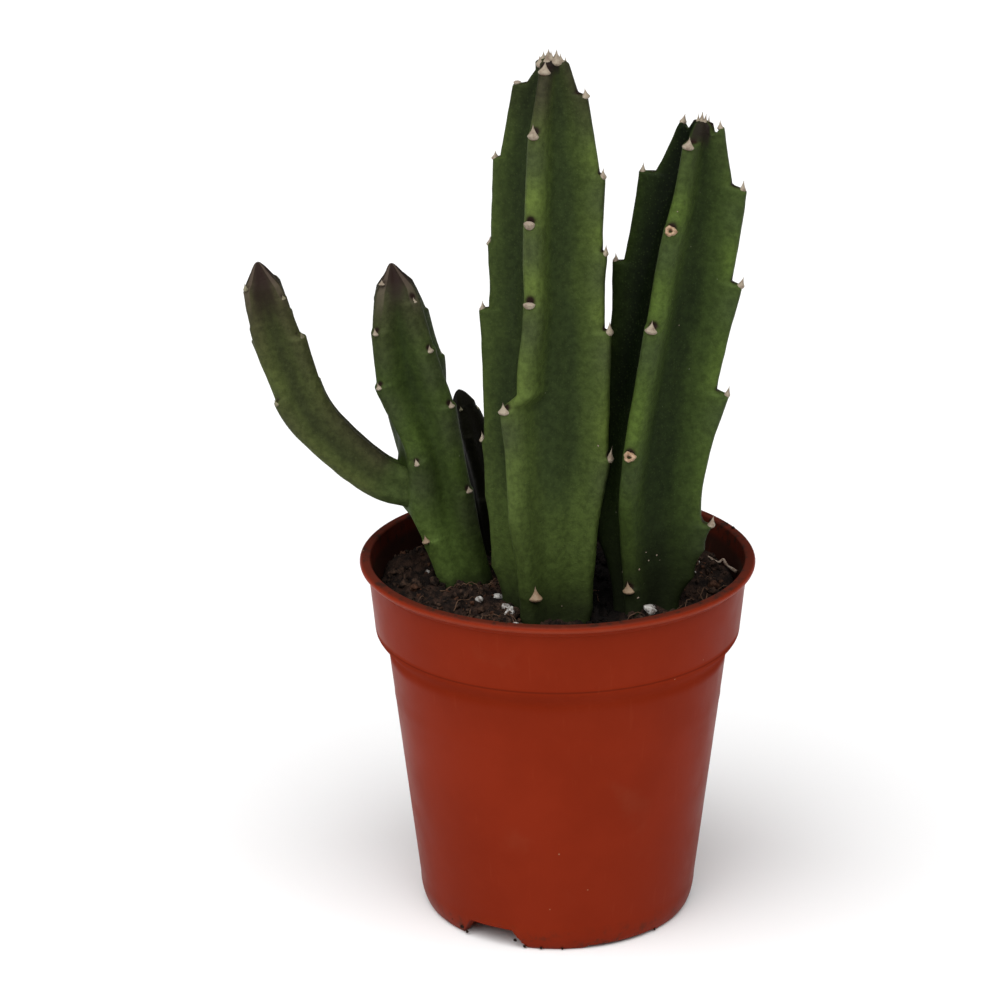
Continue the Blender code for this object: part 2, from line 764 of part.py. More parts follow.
def make_soil(parts, cutters, axis):
    """The root ball: it fills the pot, and each stem's foot stands in a hole in it."""
    soil = turned("soil", soil_profile(), SOIL_SIDES, parts, axis)
    apply_modifiers(soil)
    for vertex in soil.data.vertices:
        if math.isclose(vertex.co.z, SOIL_LEVEL, rel_tol=1e-5):
            vertex.co.z = soil_height(vertex.co.x, vertex.co.y)
    for name, stem in STEMS.items():
        mesh = loft(stem, SMALL_COLUMNS, top=stem.leaves + HOLE_RISE, grow=HOLE_GAP)
        hole = bpy.data.objects.new(name + "_hole", mesh)
        cut(soil, add_cutter(hole, hole.name, cutters, axis))
    apply_modifiers(soil)
    finish(soil, sharp_angle=60)


def main():
    for obj in list(bpy.data.objects):
        bpy.data.objects.remove(obj)
    parts = collection_named(NAME)
    cutters = collection_named(NAME + "_cutters")
    axis = bpy.data.objects.new("pot_axis", None)
    axis.location.x = POT_AXIS_X
    parts.objects.link(axis)
    make_pot(parts, cutters, axis)
    make_soil(parts, cutters, axis)
    for name, stem in STEMS.items():
        make_stem(name, stem, parts, axis)


main()
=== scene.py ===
"""The looks of the potted stapelia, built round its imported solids.

Every surface is worked out about the pot's own axis, in metres, with +Z up and the
viewer at -Y. The axis stands where the pot's box says, and each finished mesh is moved
there, so that every piece's object stays at the origin. An azimuth is counted in degrees
from the front towards +X. Long tables are written in millimetres.
"""

import itertools
import math
from dataclasses import dataclass
from functools import partialmethod

import bpy
import numpy as np
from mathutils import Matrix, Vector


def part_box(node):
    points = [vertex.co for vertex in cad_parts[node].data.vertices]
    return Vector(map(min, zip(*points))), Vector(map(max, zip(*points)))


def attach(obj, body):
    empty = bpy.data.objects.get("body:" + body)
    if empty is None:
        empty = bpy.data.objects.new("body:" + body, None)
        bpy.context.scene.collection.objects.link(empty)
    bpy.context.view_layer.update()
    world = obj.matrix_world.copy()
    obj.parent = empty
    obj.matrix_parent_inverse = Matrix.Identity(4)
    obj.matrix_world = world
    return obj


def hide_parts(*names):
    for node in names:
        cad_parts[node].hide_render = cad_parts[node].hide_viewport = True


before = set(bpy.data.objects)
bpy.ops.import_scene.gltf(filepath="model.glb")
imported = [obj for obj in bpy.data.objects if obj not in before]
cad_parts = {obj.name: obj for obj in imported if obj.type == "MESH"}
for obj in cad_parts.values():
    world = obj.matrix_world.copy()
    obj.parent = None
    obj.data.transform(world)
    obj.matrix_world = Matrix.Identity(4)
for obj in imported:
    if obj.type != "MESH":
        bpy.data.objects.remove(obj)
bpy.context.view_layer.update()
POT_LOW, POT_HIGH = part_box("pot")
POT_AXIS = np.array([POT_HIGH.x - (POT_HIGH.y - POT_LOW.y) / 2, 0.0, 0.0])
MM = 0.001


def mm(*rows):
    """A table in metres, from rows in millimetres."""
    return MM * np.array(rows)


# The photograph's camera and light: where it looks, from how far and how steeply
PICTURE = 1000
CAMERA_DISTANCE = 0.4881
CAMERA_ELEVATION = math.radians(20.06)
CAMERA_HEIGHT_AIM = 0.05975
CAMERA_FOCAL_PIXELS = 3530.5
CAMERA_AXIS_PIXEL = 557.6  # the column of the picture that the pot's axis falls on
SENSOR = 36.0
LIGHT_SPREAD = math.radians(70)
WORLD_STRENGTH = 0.08
FLOOR_GREY = 0.86

# Pot, the sizes of its solid, with slightly narrower gaps in the foot
POT_HEIGHT = 0.0518
RIM_RADIUS = 0.0275
RIM_INSIDE = 0.0260
LIP_HEIGHT = 0.0010
COLLAR_RADIUS = 0.0265
COLLAR_TAPER = 0.0010
COLLAR_BOTTOM = 0.0418
SHOULDER_BOTTOM = 0.0386
SHOULDER_RADIUS = 0.0237
CORNER_HEIGHT = 0.0039
CORNER_RADIUS = 0.0196
FOOT_RADIUS = 0.0188
FOOT_WIDTH = 0.0011
EDGE_ROUNDING = 0.0003  # of the foot ring, and of the rim's inner edge
WALL = 0.0008
FLOOR_BOTTOM = 0.0032
FLOOR_TOP = 0.0041
FLOOR_CORNER = 0.0010
MIDDLE = 0.0005  # radius of the innermost row of a disc, round its middle point
BODY_LINE = 0.0316  # height of the faint ring that the mould left on the body
FOOT_GAPS = (  # azimuths, half width at the foot and at the top, height
    ((-29.0, 91.0, 211.0), 0.0050, 0.0031, 0.0029),
    ((29.0, 149.0, 269.0), 0.0056, 0.0052, 0.0005),
)
POT_COLUMNS = 360
LIP_STEPS = 12
LIP_HIGHLIGHT = (0.2, 0.5, 0.8, 1.0, 1.0, 0.8, 0.4)  # how much painted highlight each row of the lip has, from below
LIP_INSIDE = (0.10, 0.35, 0.65, 0.85, 0.95)  # and how much its last rows belong to the inside
DRAIN_HOLES = 6
DRAIN_RADIUS = 0.0018
DRAIN_CIRCLE = 0.0125
CRISP = 35  # the angle in degrees from which an edge of the pot is sharp

# Soil
SOIL_LEVEL = 0.0465
SOIL_BOTTOM = FLOOR_TOP + 0.0003
SOIL_EDGE = (0.0243, 0.0254)  # radii between which it sinks towards the wall
SOIL_SINKS = 0.0012
SOIL_CLODS = (0.0006, 0.0034)  # height and size
SOIL_CRUMBS = (  # height, size, and the level and the depth of the creases between them
    (0.0005, 0.0014, 0.6, 1.6),
    (0.00035, 0.0006, 0.5, 1.4),
)
SOIL_COLUMNS = 420
SOIL_RINGS = 120
SOIL_SIDE_ROWS = 16
SOIL_SHADOW_PLACE = (0.0058, 0.0034, 0.0190)  # where a shadow is painted on the soil: middle x, and reach along x and y
MOUNDS = mm(  # x, y, height and reach
    (-18.5, 6.5, 2.8, 5.5), (-15.0, -6.0, 0.9, 6.0), (18.0, 2.0, 1.1, 7.0), (19.0, 12.0, 0.8, 6.0),
    (2.0, 14.0, 0.8, 9.0), (13.0, -11.2, 1.7, 2.8), (6.0, -20.0, -3.0, 8.5),
)

# Ribs
CREST_SHARPNESS = 3.5
WIDEST_RIB = 0.62
BURIED_FROM = 0.2
BURIED_TO = 0.95
STEP_LENGTH = 0.0005
FLARE = 2.0
TIP_THINNING = 0.32  # share that a rib loses in thickness between these distances from the tip
TIP_THINS = (0.0156, 0.0026)
CUT_LENGTH = 0.0011  # how far below its rib's last corner a cut beside the bud begins
CUT_WIDTH = (0.0002, 0.0010)  # and between which distances inside that corner it deepens
CUT_FULL = 0.625  # share of the rib's own form from which it has its full depth
BUD_EDGE = 0.0003  # width of its other side, from the bud's radius outwards
ROUND_NOSE = 0.5  # powers of a nose's outline
POINTED_NOSE = 0.57
SKIN_RELIEF = ((0.00012, 0.0042), (0.00004, 0.0013))  # height and size of its lumps
ROW_SPACING = 0.00022
TIP_ROWS = 40
TIP_REACH = 0.0030
QUARTER_STEPS = 30
CREST_CROWDING = 0.72  # how much closer the columns stand at the crests

# A colour near a tooth: how far inside the crest and above the root its middle lies, its
# reach, and how many times as far it reaches along the stem
YELLOW_ABOVE = (0.0008, 0.0034, 0.0024, 1.7)
GREY_BELOW = (0.0006, -0.0030, 0.0021, 1.6)

# The painted shadow in the notch above a tooth, as a length to start from and a share of
# the tooth's step for how far inside it lies, and of the tooth's half width for how high
# it lies and how wide it is
NOTCH_SHADOW_INSIDE = (0.0001, 0.7)
NOTCH_SHADOW_ABOVE = (0.0003, 0.25)
NOTCH_SHADOW_REACH = (0.00012, 0.62)
NOTCH_SHADOW_RAISED = 0.00035  # how much higher it lies above a bowl
NOTCH_SHADOW_FULL = 0.0006  # half width of the teeth from which it is fully dark

# Where the skin's colours begin and where they are full: distances from the tip, or along
# the line for the shoot's joint, and quarter turns from the middle of the furrow
TOP_REACH = 0.0100  # of the darker top, which on a pointed stem reaches past the new growth
TOP_PAST_YOUNG = 0.0030
PALER_FADE = 0.018
PAINTED_LIGHT_FADE = 0.010
YOUNG_FADE = 0.0009
FURROW_TURN = 3.46
FURROW_ENDS = (0.48, 0.18)
JOINT_ENDS = (0.0125, 0.0055)
BUD_ENDS = (0.00442, 0.00102)
SEAM_ENDS = (0.0075, 0.0025)
SEAM_CREST = (0.982, 0.994)  # and how near a crest a seam lies

# Teeth
TOOTH_ROWS = 18
TOOTH_COLUMNS = 14
BLUNT = 1.8  # a tooth shorter than this many half widths is a bowl
SIDE_INSET = 0.22  # share of its step that a side rib's tooth stands inside the edge
SIDE_RAISE = 0.00012
SPIKE_SHAPE = (0.24, 2.0)  # share of the length at which it is widest, and the power above
BOWL_SHAPE = (0.72, 0.45)
TOOTH_SINK = 0.24  # share of a tooth's length that lies below its place
TOOTH_SPREAD = np.array(  # least and most of length, width, thickness, hook, lean and turn
    [(0.96, 1.04), (0.94, 1.06), (0.60, 0.72), (-0.00005, 0.00012), (-0.10, 0.08), (-0.25, 0.25)]
).T
SOILED_TEETH = (0.0560, 0.0540)  # heights between which the teeth turn brown


@dataclass
class Stem:
    """A four-ribbed stem, as in the solids.

    line: its centreline from the buried foot, or from inside its parent, to the tip.
    ribs: the front, right, back and left rib, each a list of teeth from the lowest up,
        as distance along the line, azimuth in degrees, the crest's radius there, how far
        the crest steps back in just above the tooth, and the tooth's length.
    leaves, base: the distance at which it leaves the soil or its parent, and its radius.
    foot, tip: the radii at its two ends.
    nose: the length of its rounded or pointed end.
    half_thickness, valley: half a rib's thickness, and the valley's share of the crest.
    young: how far the brown-purple of the new growth reaches down from the tip, and
    young_radius: how far from the line it reaches.
    painted_shade_from: the height below which painted shade darkens the skin towards the soil.
    paler: the height below which the valleys grow pale, and how pale.
    lift: the height below which painted light brightens the skin, how much beside the
    front rib and how much on it.
    tones: how much of the crest's paler colours each rib has.
    furrow_shadow: how dark the painted shadow is in the furrow between the left and
    the front rib.
    tooth_widths: half the width of the teeth on the front and back ribs, and on the side
        ribs.
    notch: how deep the cut goes that parts the top of the side ribs from the bud.
    bud: the radius of the bud that the cut parts from them.
    pointed: whether the tip is a cone and not a dome.
    worn: (rib, tooth) numbers of the teeth that are worn down to a scar.
    swelling: where a side shoot breaks out: the distance along the line, azimuth in
        degrees, height, reach along the line and reach round it in degrees.
    """

    line: np.ndarray
    ribs: tuple
    leaves: float
    base: float
    foot: float
    tip: float
    nose: float
    young: float
    half_thickness: float = 0.00142
    valley: float = 0.47
    young_radius: float = 0.0100
    painted_shade_from: float = 0.0540
    paler: tuple = (0.0, 0.0)
    lift: tuple = (0.0, 0.0, 0.0)
    tones: tuple = (1.0, 1.0, 1.0, 1.0)
    furrow_shadow: float = 0.0
    tooth_widths: tuple = (0.00030, 0.00030)
    notch: float = 0.0
    bud: float = 0.0
    pointed: bool = False
    worn: tuple = ()
    swelling: tuple = ()


def rib(*teeth, azimuth=None):
    """A rib's teeth in metres, from millimetres. One azimuth may serve them all."""
    rows = [row if azimuth is None else (row[0], azimuth, *row[1:]) for row in teeth]
    return tuple((at * MM, turn, *(size * MM for size in sizes)) for at, turn, *sizes in rows)


def opposite(teeth, share=1.0):
    """The rib across the stem: teeth at the same heights, the top one not yet grown."""
    turned = [(at, azimuth + 180.0, radius * share, *rest) for at, azimuth, radius, *rest in teeth]
    return (*turned[:-1], (*turned[-1][:4], 0.0))


TALL_FRONT = rib(
    (13.1, -29.0, 6.9, 0.0, 0.0), (24.0, -36.0, 8.1, 0.0, 0.0), (39.9, -39.0, 9.2, 0.6, 1.9),
    (42.3, -23.5, 8.4, 0.0, 0.0), (54.3, -16.2, 8.4, 0.5, 0.9), (65.2, -18.3, 7.7, 0.6, 1.2),
    (77.2, -20.4, 6.3, 0.6, 2.4), (84.9, -21.7, 2.5, 0.4, 2.0),
)
TALL_RIGHT = rib(
    (31.8, 9.0, 0.4, 2.5), (49.5, 8.9, 0.9, 2.3), (60.3, 8.2, 0.6, 2.0), (71.0, 7.7, 0.8, 1.8),
    (81.5, 5.1, 1.4, 1.7),
    azimuth=73.0,
)
TALL_LEFT = rib(
    (15.0, 7.9, 0.0, 0.0), (25.0, 8.8, 0.0, 0.0), (32.9, 9.3, 0.4, 1.6), (51.4, 9.4, 1.4, 1.7),
    (60.4, 8.1, 0.4, 1.6), (72.0, 7.7, 1.0, 1.4), (82.3, 5.1, 1.9, 0.6), (84.6, 2.0, 0.0, 0.0),
    azimuth=253.0,
)
TALL = Stem(
    line=mm(
        (-1.2, -7.0, 37.0), (-1.3, -7.0, 46.9), (-1.4, -6.5, 68.3), (-1.4, -6.0, 87.6),
        (-1.4, -5.5, 98.6), (-1.0, -5.5, 113.0), (-0.8, -5.5, 123.2),
    ),
    ribs=(TALL_FRONT, TALL_RIGHT, opposite(TALL_FRONT, 0.95), TALL_LEFT),
    leaves=0.0100,
    base=0.0064,
    foot=0.0042,
    tip=0.0021,
    nose=0.0007,
    young=0.0030,
    young_radius=0.0032,
    paler=(0.0710, 0.55),
    lift=(0.0710, 0.32, 0.0),
    tones=(1.0, 0.8, 0.8, 0.35),
    furrow_shadow=0.30,
    tooth_widths=(0.00084, 0.00074),
)

RIGHT_FRONT = rib(
    (13.6, -28.0, 5.2, 0.3, 2.1), (33.2, -17.2, 8.8, 0.4, 1.8), (50.8, -16.5, 8.6, 1.0, 2.0),
    (64.1, -18.9, 7.5, 0.5, 1.8), (75.5, -23.0, 4.5, 2.2, 1.9),
)
RIGHT_RIGHT = rib(
    (14.0, 6.8, 0.0, 0.0), (17.8, 8.6, 0.0, 0.0), (21.4, 9.9, 1.2, 2.1), (22.8, 8.3, 0.0, 0.0),
    (42.0, 10.2, 1.8, 2.0), (57.3, 9.3, 1.6, 2.0), (69.9, 7.1, 2.0, 2.2), (77.6, 2.9, 1.6, 1.7),
    azimuth=77.0,
)
RIGHT_BACK = opposite(RIGHT_FRONT, 0.92)[:-1] + rib((73.2, 157.0, 3.4, 1.8, 0.0))
RIGHT_LEFT = rib(
    (22.5, 7.6, 0.8, 1.6), (41.5, 8.3, 1.2, 1.6), (56.9, 8.6, 1.5, 1.6), (69.8, 7.5, 2.2, 1.8),
    (77.6, 2.9, 1.6, 1.7),
    azimuth=257.0,
)
RIGHT = Stem(
    line=mm(
        (11.5, -6.5, 37.0), (12.2, -6.5, 47.5), (11.4, -6.0, 61.9), (12.1, -5.5, 70.4),
        (14.1, -5.0, 83.8), (15.8, -4.5, 94.1), (18.0, -4.0, 105.4), (19.1, -4.0, 114.6),
    ),
    ribs=(RIGHT_FRONT, RIGHT_RIGHT, RIGHT_BACK, RIGHT_LEFT),
    leaves=0.0098,
    base=0.0045,
    foot=0.0036,
    tip=0.0012,
    nose=0.0005,
    young=0.0050,
    young_radius=0.0031,
    painted_shade_from=0.0660,
    paler=(0.0800, 0.0),
    tones=(1.0, 1.0, 1.0, 0.3),
    furrow_shadow=0.97,
    tooth_widths=(0.00088, 0.00070),
    notch=0.0011,
    bud=0.0014,
    worn=((0, 1), (0, 3)),
)

LEFT_FRONT = rib(
    (17.8, -28.6, 5.8, 0.3, 0.0), (29.8, -14.0, 6.4, 0.4, 1.3), (41.2, -39.8, 6.7, 0.6, 1.2),
    (48.5, -35.0, 5.6, 0.5, 1.3), (54.7, -31.0, 2.9, 0.3, 0.9),
)
LEFT_RIGHT = rib(
    (23.6, 44.3, 6.3, 0.3, 1.3), (36.3, 46.0, 6.8, 0.6, 1.2), (44.7, 40.0, 5.9, 0.5, 1.3),
    (51.7, 40.0, 4.2, 0.4, 1.0), (55.3, 50.0, 2.1, 0.2, 0.0),
)
LEFT = Stem(
    line=mm(
        (-10.8, 5.0, 37.0), (-12.9, 4.5, 45.8), (-16.4, 4.5, 59.7), (-18.9, 4.5, 71.1),
        (-21.2, 4.5, 82.2), (-22.7, 4.5, 92.5),
    ),
    ribs=(LEFT_FRONT, LEFT_RIGHT, opposite(LEFT_FRONT, 0.95), opposite(LEFT_RIGHT, 0.95)),
    leaves=0.0098,
    base=0.0050,
    foot=0.0036,
    tip=0.0019,
    nose=0.0032,
    half_thickness=0.0017,
    valley=0.54,
    young=0.0085,
    pointed=True,
    painted_shade_from=0.0500,
    paler=(0.0760, 0.80),
    lift=(0.0640, 0.0, 1.6),
    tooth_widths=(0.00050, 0.00056),
    swelling=(0.0250, -66.0, 0.0029, 0.0050, 40.0),
)

SIDE_FRONT = rib((25.2, 4.6, 0.6, 1.1), (36.0, 4.0, 0.3, 0.0), (41.5, 3.2, 0.4, 1.3), azimuth=-40.0)
SIDE_RIGHT = rib(
    (18.0, 4.2, 0.1, 0.0), (33.1, 5.1, 1.2, 1.4), (39.0, 3.6, 0.3, 0.8), (42.5, 2.3, 0.2, 0.0), azimuth=50.0
)
SIDE_SHOOT = Stem(
    line=mm(
        (-16.8, 3.4, 59.7), (-19.9, 2.0, 61.0), (-25.6, 1.6, 63.5), (-33.5, 2.4, 70.9),
        (-37.0, 3.0, 78.7), (-39.3, 3.0, 86.0), (-40.8, 3.0, 93.1),
    ),
    ribs=(SIDE_FRONT, SIDE_RIGHT, opposite(SIDE_FRONT, 0.88), opposite(SIDE_RIGHT)),
    leaves=0.0030,
    base=0.0032,
    foot=0.0027,
    tip=0.0020,
    nose=0.0034,
    half_thickness=0.0013,
    valley=0.68,
    young=0.0110,
    pointed=True,
    painted_shade_from=0.0,
    tooth_widths=(0.00040, 0.00036),
)

BACK_FRONT = rib((18.0, 3.4, 0.3, 0.0), (27.5, 2.9, 0.3, 0.0), (31.5, 1.6, 0.2, 0.8), azimuth=-10.0)
BACK_RIGHT = rib((13.0, 3.6, 0.3, 0.6), (22.5, 3.5, 0.4, 0.8), (30.5, 2.0, 0.3, 1.0), azimuth=80.0)
BACK = Stem(
    line=mm(
        (-5.5, 14.0, 38.0), (-8.3, 14.5, 47.8), (-10.1, 14.8, 56.6), (-12.2, 15.0, 64.5),
        (-14.0, 15.0, 70.9),
    ),
    ribs=(BACK_FRONT, BACK_RIGHT, opposite(BACK_FRONT), opposite(BACK_RIGHT)),
    leaves=0.0090,
    base=0.0034,
    foot=0.0028,
    tip=0.0016,
    nose=0.0022,
    half_thickness=0.0011,
    valley=0.66,
    young=0.0200,
    pointed=True,
)

# Teeth of the tips' crowns, and others away from a crest: azimuth in degrees, then distance
# from the line, below the tip, length and half width in millimetres, and lean
TALL_CROWN = (
    (-68, 1.6, 1.2, 1.8, 0.68, -0.05), (-30, 1.2, 1.0, 2.1, 0.80, -0.08),
    (-8, 0.7, 0.4, 1.7, 0.55, 0.05), (36, 1.3, 0.8, 2.2, 0.82, 0.02),
    (68, 1.6, 0.9, 1.9, 0.66, 0.20), (98, 2.0, 1.4, 1.7, 0.60, 0.05),
    (140, 1.2, 0.6, 1.8, 0.60, 0.10), (200, 1.3, 0.6, 1.8, 0.65, 0.05),
    (245, 1.4, 0.7, 1.7, 0.62, 0.15), (285, 1.7, 1.0, 1.5, 0.60, 0.00),
    (-16.8, 6.1, 73.7, 2.4, 1.05, 0.08),
)
LEFT_LOOSE = ((-30.0, 6.4, 38.9, 1.4, 0.62, 0.10),)
RIGHT_CROWN = (
    (-62, 0.8, 0.7, 1.9, 0.30, 0.02), (-12, 0.5, 0.5, 2.0, 0.38, -0.05),
    (40, 0.6, 0.6, 1.9, 0.34, -0.05), (88, 1.0, 0.8, 1.8, 0.28, 0.06),
    (190, 0.6, 0.5, 1.6, 0.34, 0.00), (265, 0.7, 0.6, 1.5, 0.34, 0.05),
)
CROWN_THICKNESS = 0.8
CROWN_HOOK = 0.0001

# A worn tooth: its corky cup from under the skin over a round rim into the middle, as
# (share of the radius, share of the height)
SCAR_RADIUS = 0.00078
SCAR_HEIGHT = 0.0009
SCAR_COLUMNS = 24
SCAR_PROFILE = np.array(
    [(1.0, -0.6), (1.06, -0.15), (1.0, 0.15), (0.86, 0.36)]
    + [(0.68, 0.42), (0.52, 0.30), (0.36, 0.12), (0.16, 0.04)]
)

# Grains of dust on a stem: distance in millimetres, quarter turns, size in millimetres
RIGHT_SPECKS = (
    (16.5, 0.16, 0.14), (18.6, 0.30, 0.09), (17.3, 0.36, 0.12), (15.0, 0.40, 0.08),
    (14.2, 0.22, 0.10), (15.8, 0.55, 0.09), (12.5, 0.12, 0.15), (17.0, 0.66, 0.08),
    (17.8, 0.58, 0.10), (15.5, 3.62, 0.30), (51.0, 0.42, 0.09), (66.8, 0.02, 0.11),
)
TALL_SPECKS = ((19.5, 3.62, 0.16), (15.0, 3.55, 0.09), (10.8, 0.62, 0.09), (34.0, 0.92, 0.12))

# Crumbs of soil stuck to the pot's foot and rim: azimuth in degrees, then height and size
# in millimetres
FOOT_DIRT = (
    (-42, 0.45, 0.22), (-44, 1.1, 0.30), (-50, 1.6, 0.16), (-18, 1.2, 0.20), (-14, 0.35, 0.22),
    (-7, 0.3, 0.20), (2, 0.3, 0.18), (46, 0.4, 0.18), (120, 0.6, 0.30), (163, 0.4, 0.25),
    (236, 0.9, 0.30), (112, 51.9, 0.22), (116, 51.9, 0.15),
)

# Perlite grains that show: x, y and size
PERLITE = mm(
    (-8.1, -3.6, 0.70), (-7.0, -8.5, 0.90), (-6.5, -10.8, 0.85), (-5.7, -14.6, 0.80),
    (-10.8, -6.8, 0.65), (12.6, -11.2, 0.90), (16.4, -1.8, 0.80), (-18.2, 3.0, 0.40),
    (8.0, 13.0, 0.90), (-2.0, 19.0, 0.70), (16.0, 12.0, 0.60),
)

# A dry root lying from the soil up the wall at the right
ROOT_LINE = mm(
    (20.7, 9.8, 47.4), (21.4, 8.7, 48.0), (22.1, 7.5, 47.9), (22.8, 6.9, 47.9), (23.4, 7.4, 48.1),
    (23.8, 5.6, 48.0), (24.4, 4.2, 48.0), (25.0, 3.0, 48.0),
)
ROOT_RADIUS = 0.00019

# Grains and fibres scattered over the soil, and how clear of the stems they lie
SCATTER_REACH = 0.0240
STEM_SHARE = 0.85  # of a stem's radius at the soil
CRUMB_GAP = 0.0004
BIT_GAP = 0.0006
FIBRE_GAP = 0.0012
PERLITE_BITS = 26
BIT_SIZES = (0.00014, 0.00034)
FIBRE_START = 0.0225  # no fibre starts further from the axis
FIBRE_ROWS = 11
FIBRE_BEND = 0.28
FIBRE_STEP = (0.00012, 0.00050)
FIBRE_LIFT = (0.0001, 0.0009)
FIBRE_RADIUS = (0.00005, 0.00012)
FIBRE_REACH = 0.0246  # no fibre lies further from the axis

# Each skin's colours: in the valleys, on the flanks, on the crests, yellower above the
# teeth, greyer below them, on the young growth, and near the tip
# The valleys' darker colour is partly the skin's own and partly painted shade in the creases.
GREENS = {
    "stem_tall": (
        (0.023, 0.035, 0.0100), (0.040, 0.059, 0.0135), (0.070, 0.100, 0.0235),
        (0.092, 0.130, 0.0270), (0.048, 0.063, 0.0230), (0.010, 0.006, 0.0065),
        (0.021, 0.019, 0.0105),
    ),
    "stem_right": (
        (0.012, 0.020, 0.0050), (0.027, 0.043, 0.0095), (0.050, 0.078, 0.0155),
        (0.066, 0.103, 0.0185), (0.040, 0.058, 0.0185), (0.012, 0.0065, 0.0070),
        (0.025, 0.036, 0.0100),
    ),
    "stem_left": (
        (0.016, 0.026, 0.0063), (0.028, 0.044, 0.0097), (0.038, 0.058, 0.0132),
        (0.046, 0.074, 0.0138), (0.035, 0.046, 0.0172), (0.018, 0.010, 0.0085),
        (0.024, 0.025, 0.0110),
    ),
    "side_shoot": (
        (0.027, 0.033, 0.0110), (0.042, 0.053, 0.0150), (0.058, 0.071, 0.0200),
        (0.060, 0.076, 0.0200), (0.046, 0.052, 0.0190), (0.018, 0.0105, 0.0085),
        (0.032, 0.030, 0.0140),
    ),
    "stem_back": (
        (0.0030, 0.0034, 0.0013), (0.0042, 0.0048, 0.0017), (0.0070, 0.0072, 0.0028),
        (0.0060, 0.0065, 0.0022), (0.0065, 0.0065, 0.0026), (0.0050, 0.0042, 0.0022),
        (0.0042, 0.0042, 0.0018),
    ),
}


def ease(t):
    """A smooth step from 0 to 1."""
    t = np.clip(t, 0.0, 1.0)
    return t * t * (3 - 2 * t)


def fade(value, zero, one):
    """A smooth step: 0 where the value is the one named zero, 1 where it is the other."""
    return ease((value - zero) / (one - zero))


def unit(vectors):
    """Vectors brought to length 1 along their last axis."""
    return vectors / np.linalg.norm(vectors, axis=-1, keepdims=True)


def turn_between(angle, azimuth):
    """The turn from an azimuth in degrees to an angle in radians, from -pi to pi."""
    return (angle - math.radians(azimuth) + math.pi) % math.tau - math.pi


def lattice(cells, seed):
    """A fixed value from -1 to 1 for each whole lattice point, from a sine's decimals."""
    mixed = np.sin(cells @ np.array([127.1, 311.7, 74.7]) + 17.3 * seed) * 43758.5453
    return 2 * (mixed - np.floor(mixed)) - 1


def lumps(points, size, seed):
    """Smooth noise from -1 to 1: lattice values blended by smooth steps in each cell."""
    cells = np.asarray(points) / size
    low = np.floor(cells)
    share = ease(cells - low)
    total = np.zeros(cells.shape[:-1])
    for corner in itertools.product((0.0, 1.0), repeat=3):
        weight = np.prod(np.where(np.array(corner) > 0, share, 1 - share), axis=-1)
        total += weight * lattice(low + corner, seed)
    return total


def ring_turns(columns):
    """Even turns round a ring, without the one that closes it."""
    return np.linspace(0, math.tau, columns, endpoint=False)


def capped_faces(rows, columns):
    """Quads of a grid closed round its columns, with fans to a point below and one above."""
    row, column = np.meshgrid(np.arange(rows - 1), np.arange(columns), indexing="ij")
    here = row * columns + column
    turn = row * columns + (column + 1) % columns
    quads = np.stack([here, turn, turn + columns, here + columns], -1).reshape(-1, 4)
    side = np.arange(columns)
    turn = (side + 1) % columns
    last = (rows - 1) * columns
    lower = np.full(columns, rows * columns)
    bottom = np.stack([turn, side, lower], -1)
    top = np.stack([last + side, last + turn, lower + 1], -1)
    return quads.tolist() + bottom.tolist() + top.tolist()


def add_piece(name, points, faces, material, attributes=None, sharp=None):
    """A finished piece at the origin, its points moved from the pot's axis to their place."""
    mesh = bpy.data.meshes.new(name)
    mesh.from_pydata((points + POT_AXIS).tolist(), [], faces)
    for key, values in (attributes or {}).items():
        layer = mesh.attributes.new(key, "FLOAT", "POINT")
        layer.data.foreach_set("value", np.asarray(values, np.float32).ravel())
    mesh.shade_smooth()
    if sharp is not None:
        mesh.set_sharp_from_angle(angle=math.radians(sharp))
    mesh.materials.append(material)
    mesh.update()
    piece = bpy.data.objects.new(name, mesh)
    bpy.context.scene.collection.objects.link(piece)
    return piece


def join_parts(parts, faces):
    """Points and faces of many copies of one net: parts is copies x points x 3."""
    copies, count, _ = parts.shape
    shifted = [[i + number * count for i in face] for number in range(copies) for face in faces]
    return parts.reshape(-1, 3), shifted


# Materials


# Colours that are laid over others
UPPER_BROWN = (0.023, 0.019, 0.0115)
JOINT_GREEN = (0.042, 0.060, 0.0165)
PAINTED_FURROW_SHADOW = (0.0025, 0.0048, 0.0014)
BUD_BROWN = (0.017, 0.0085, 0.0070)
SEAM_PALE = (0.15, 0.115, 0.090)
PAINTED_SHADE_NEAR_SOIL = (0.008, 0.009, 0.005)
STEM_DUST = (0.20, 0.21, 0.14)
PAINTED_NOTCH_SHADOW = (0.014, 0.007, 0.005)
SOILED_HORN = (0.19, 0.11, 0.055)
SCAR_BROWN = (0.10, 0.045, 0.025)
DRIED_DIRT = (0.045, 0.020, 0.012)
PAINTED_EDGE_SHADE = (0.040, 0.006, 0.003)
SOIL_STAIN_AND_SHADE = (0.018, 0.012, 0.009)
POT_DUST = (0.42, 0.27, 0.16)
SCRATCH_PALE = (0.36, 0.075, 0.035)
PAINTED_LIP_HIGHLIGHT = (0.40, 0.105, 0.060)
PEAT_RED = (0.085, 0.034, 0.017)
PEAT_PALE = (0.16, 0.11, 0.08)
PAINTED_SOIL_SHADOW = (0.0012, 0.0008, 0.0006)


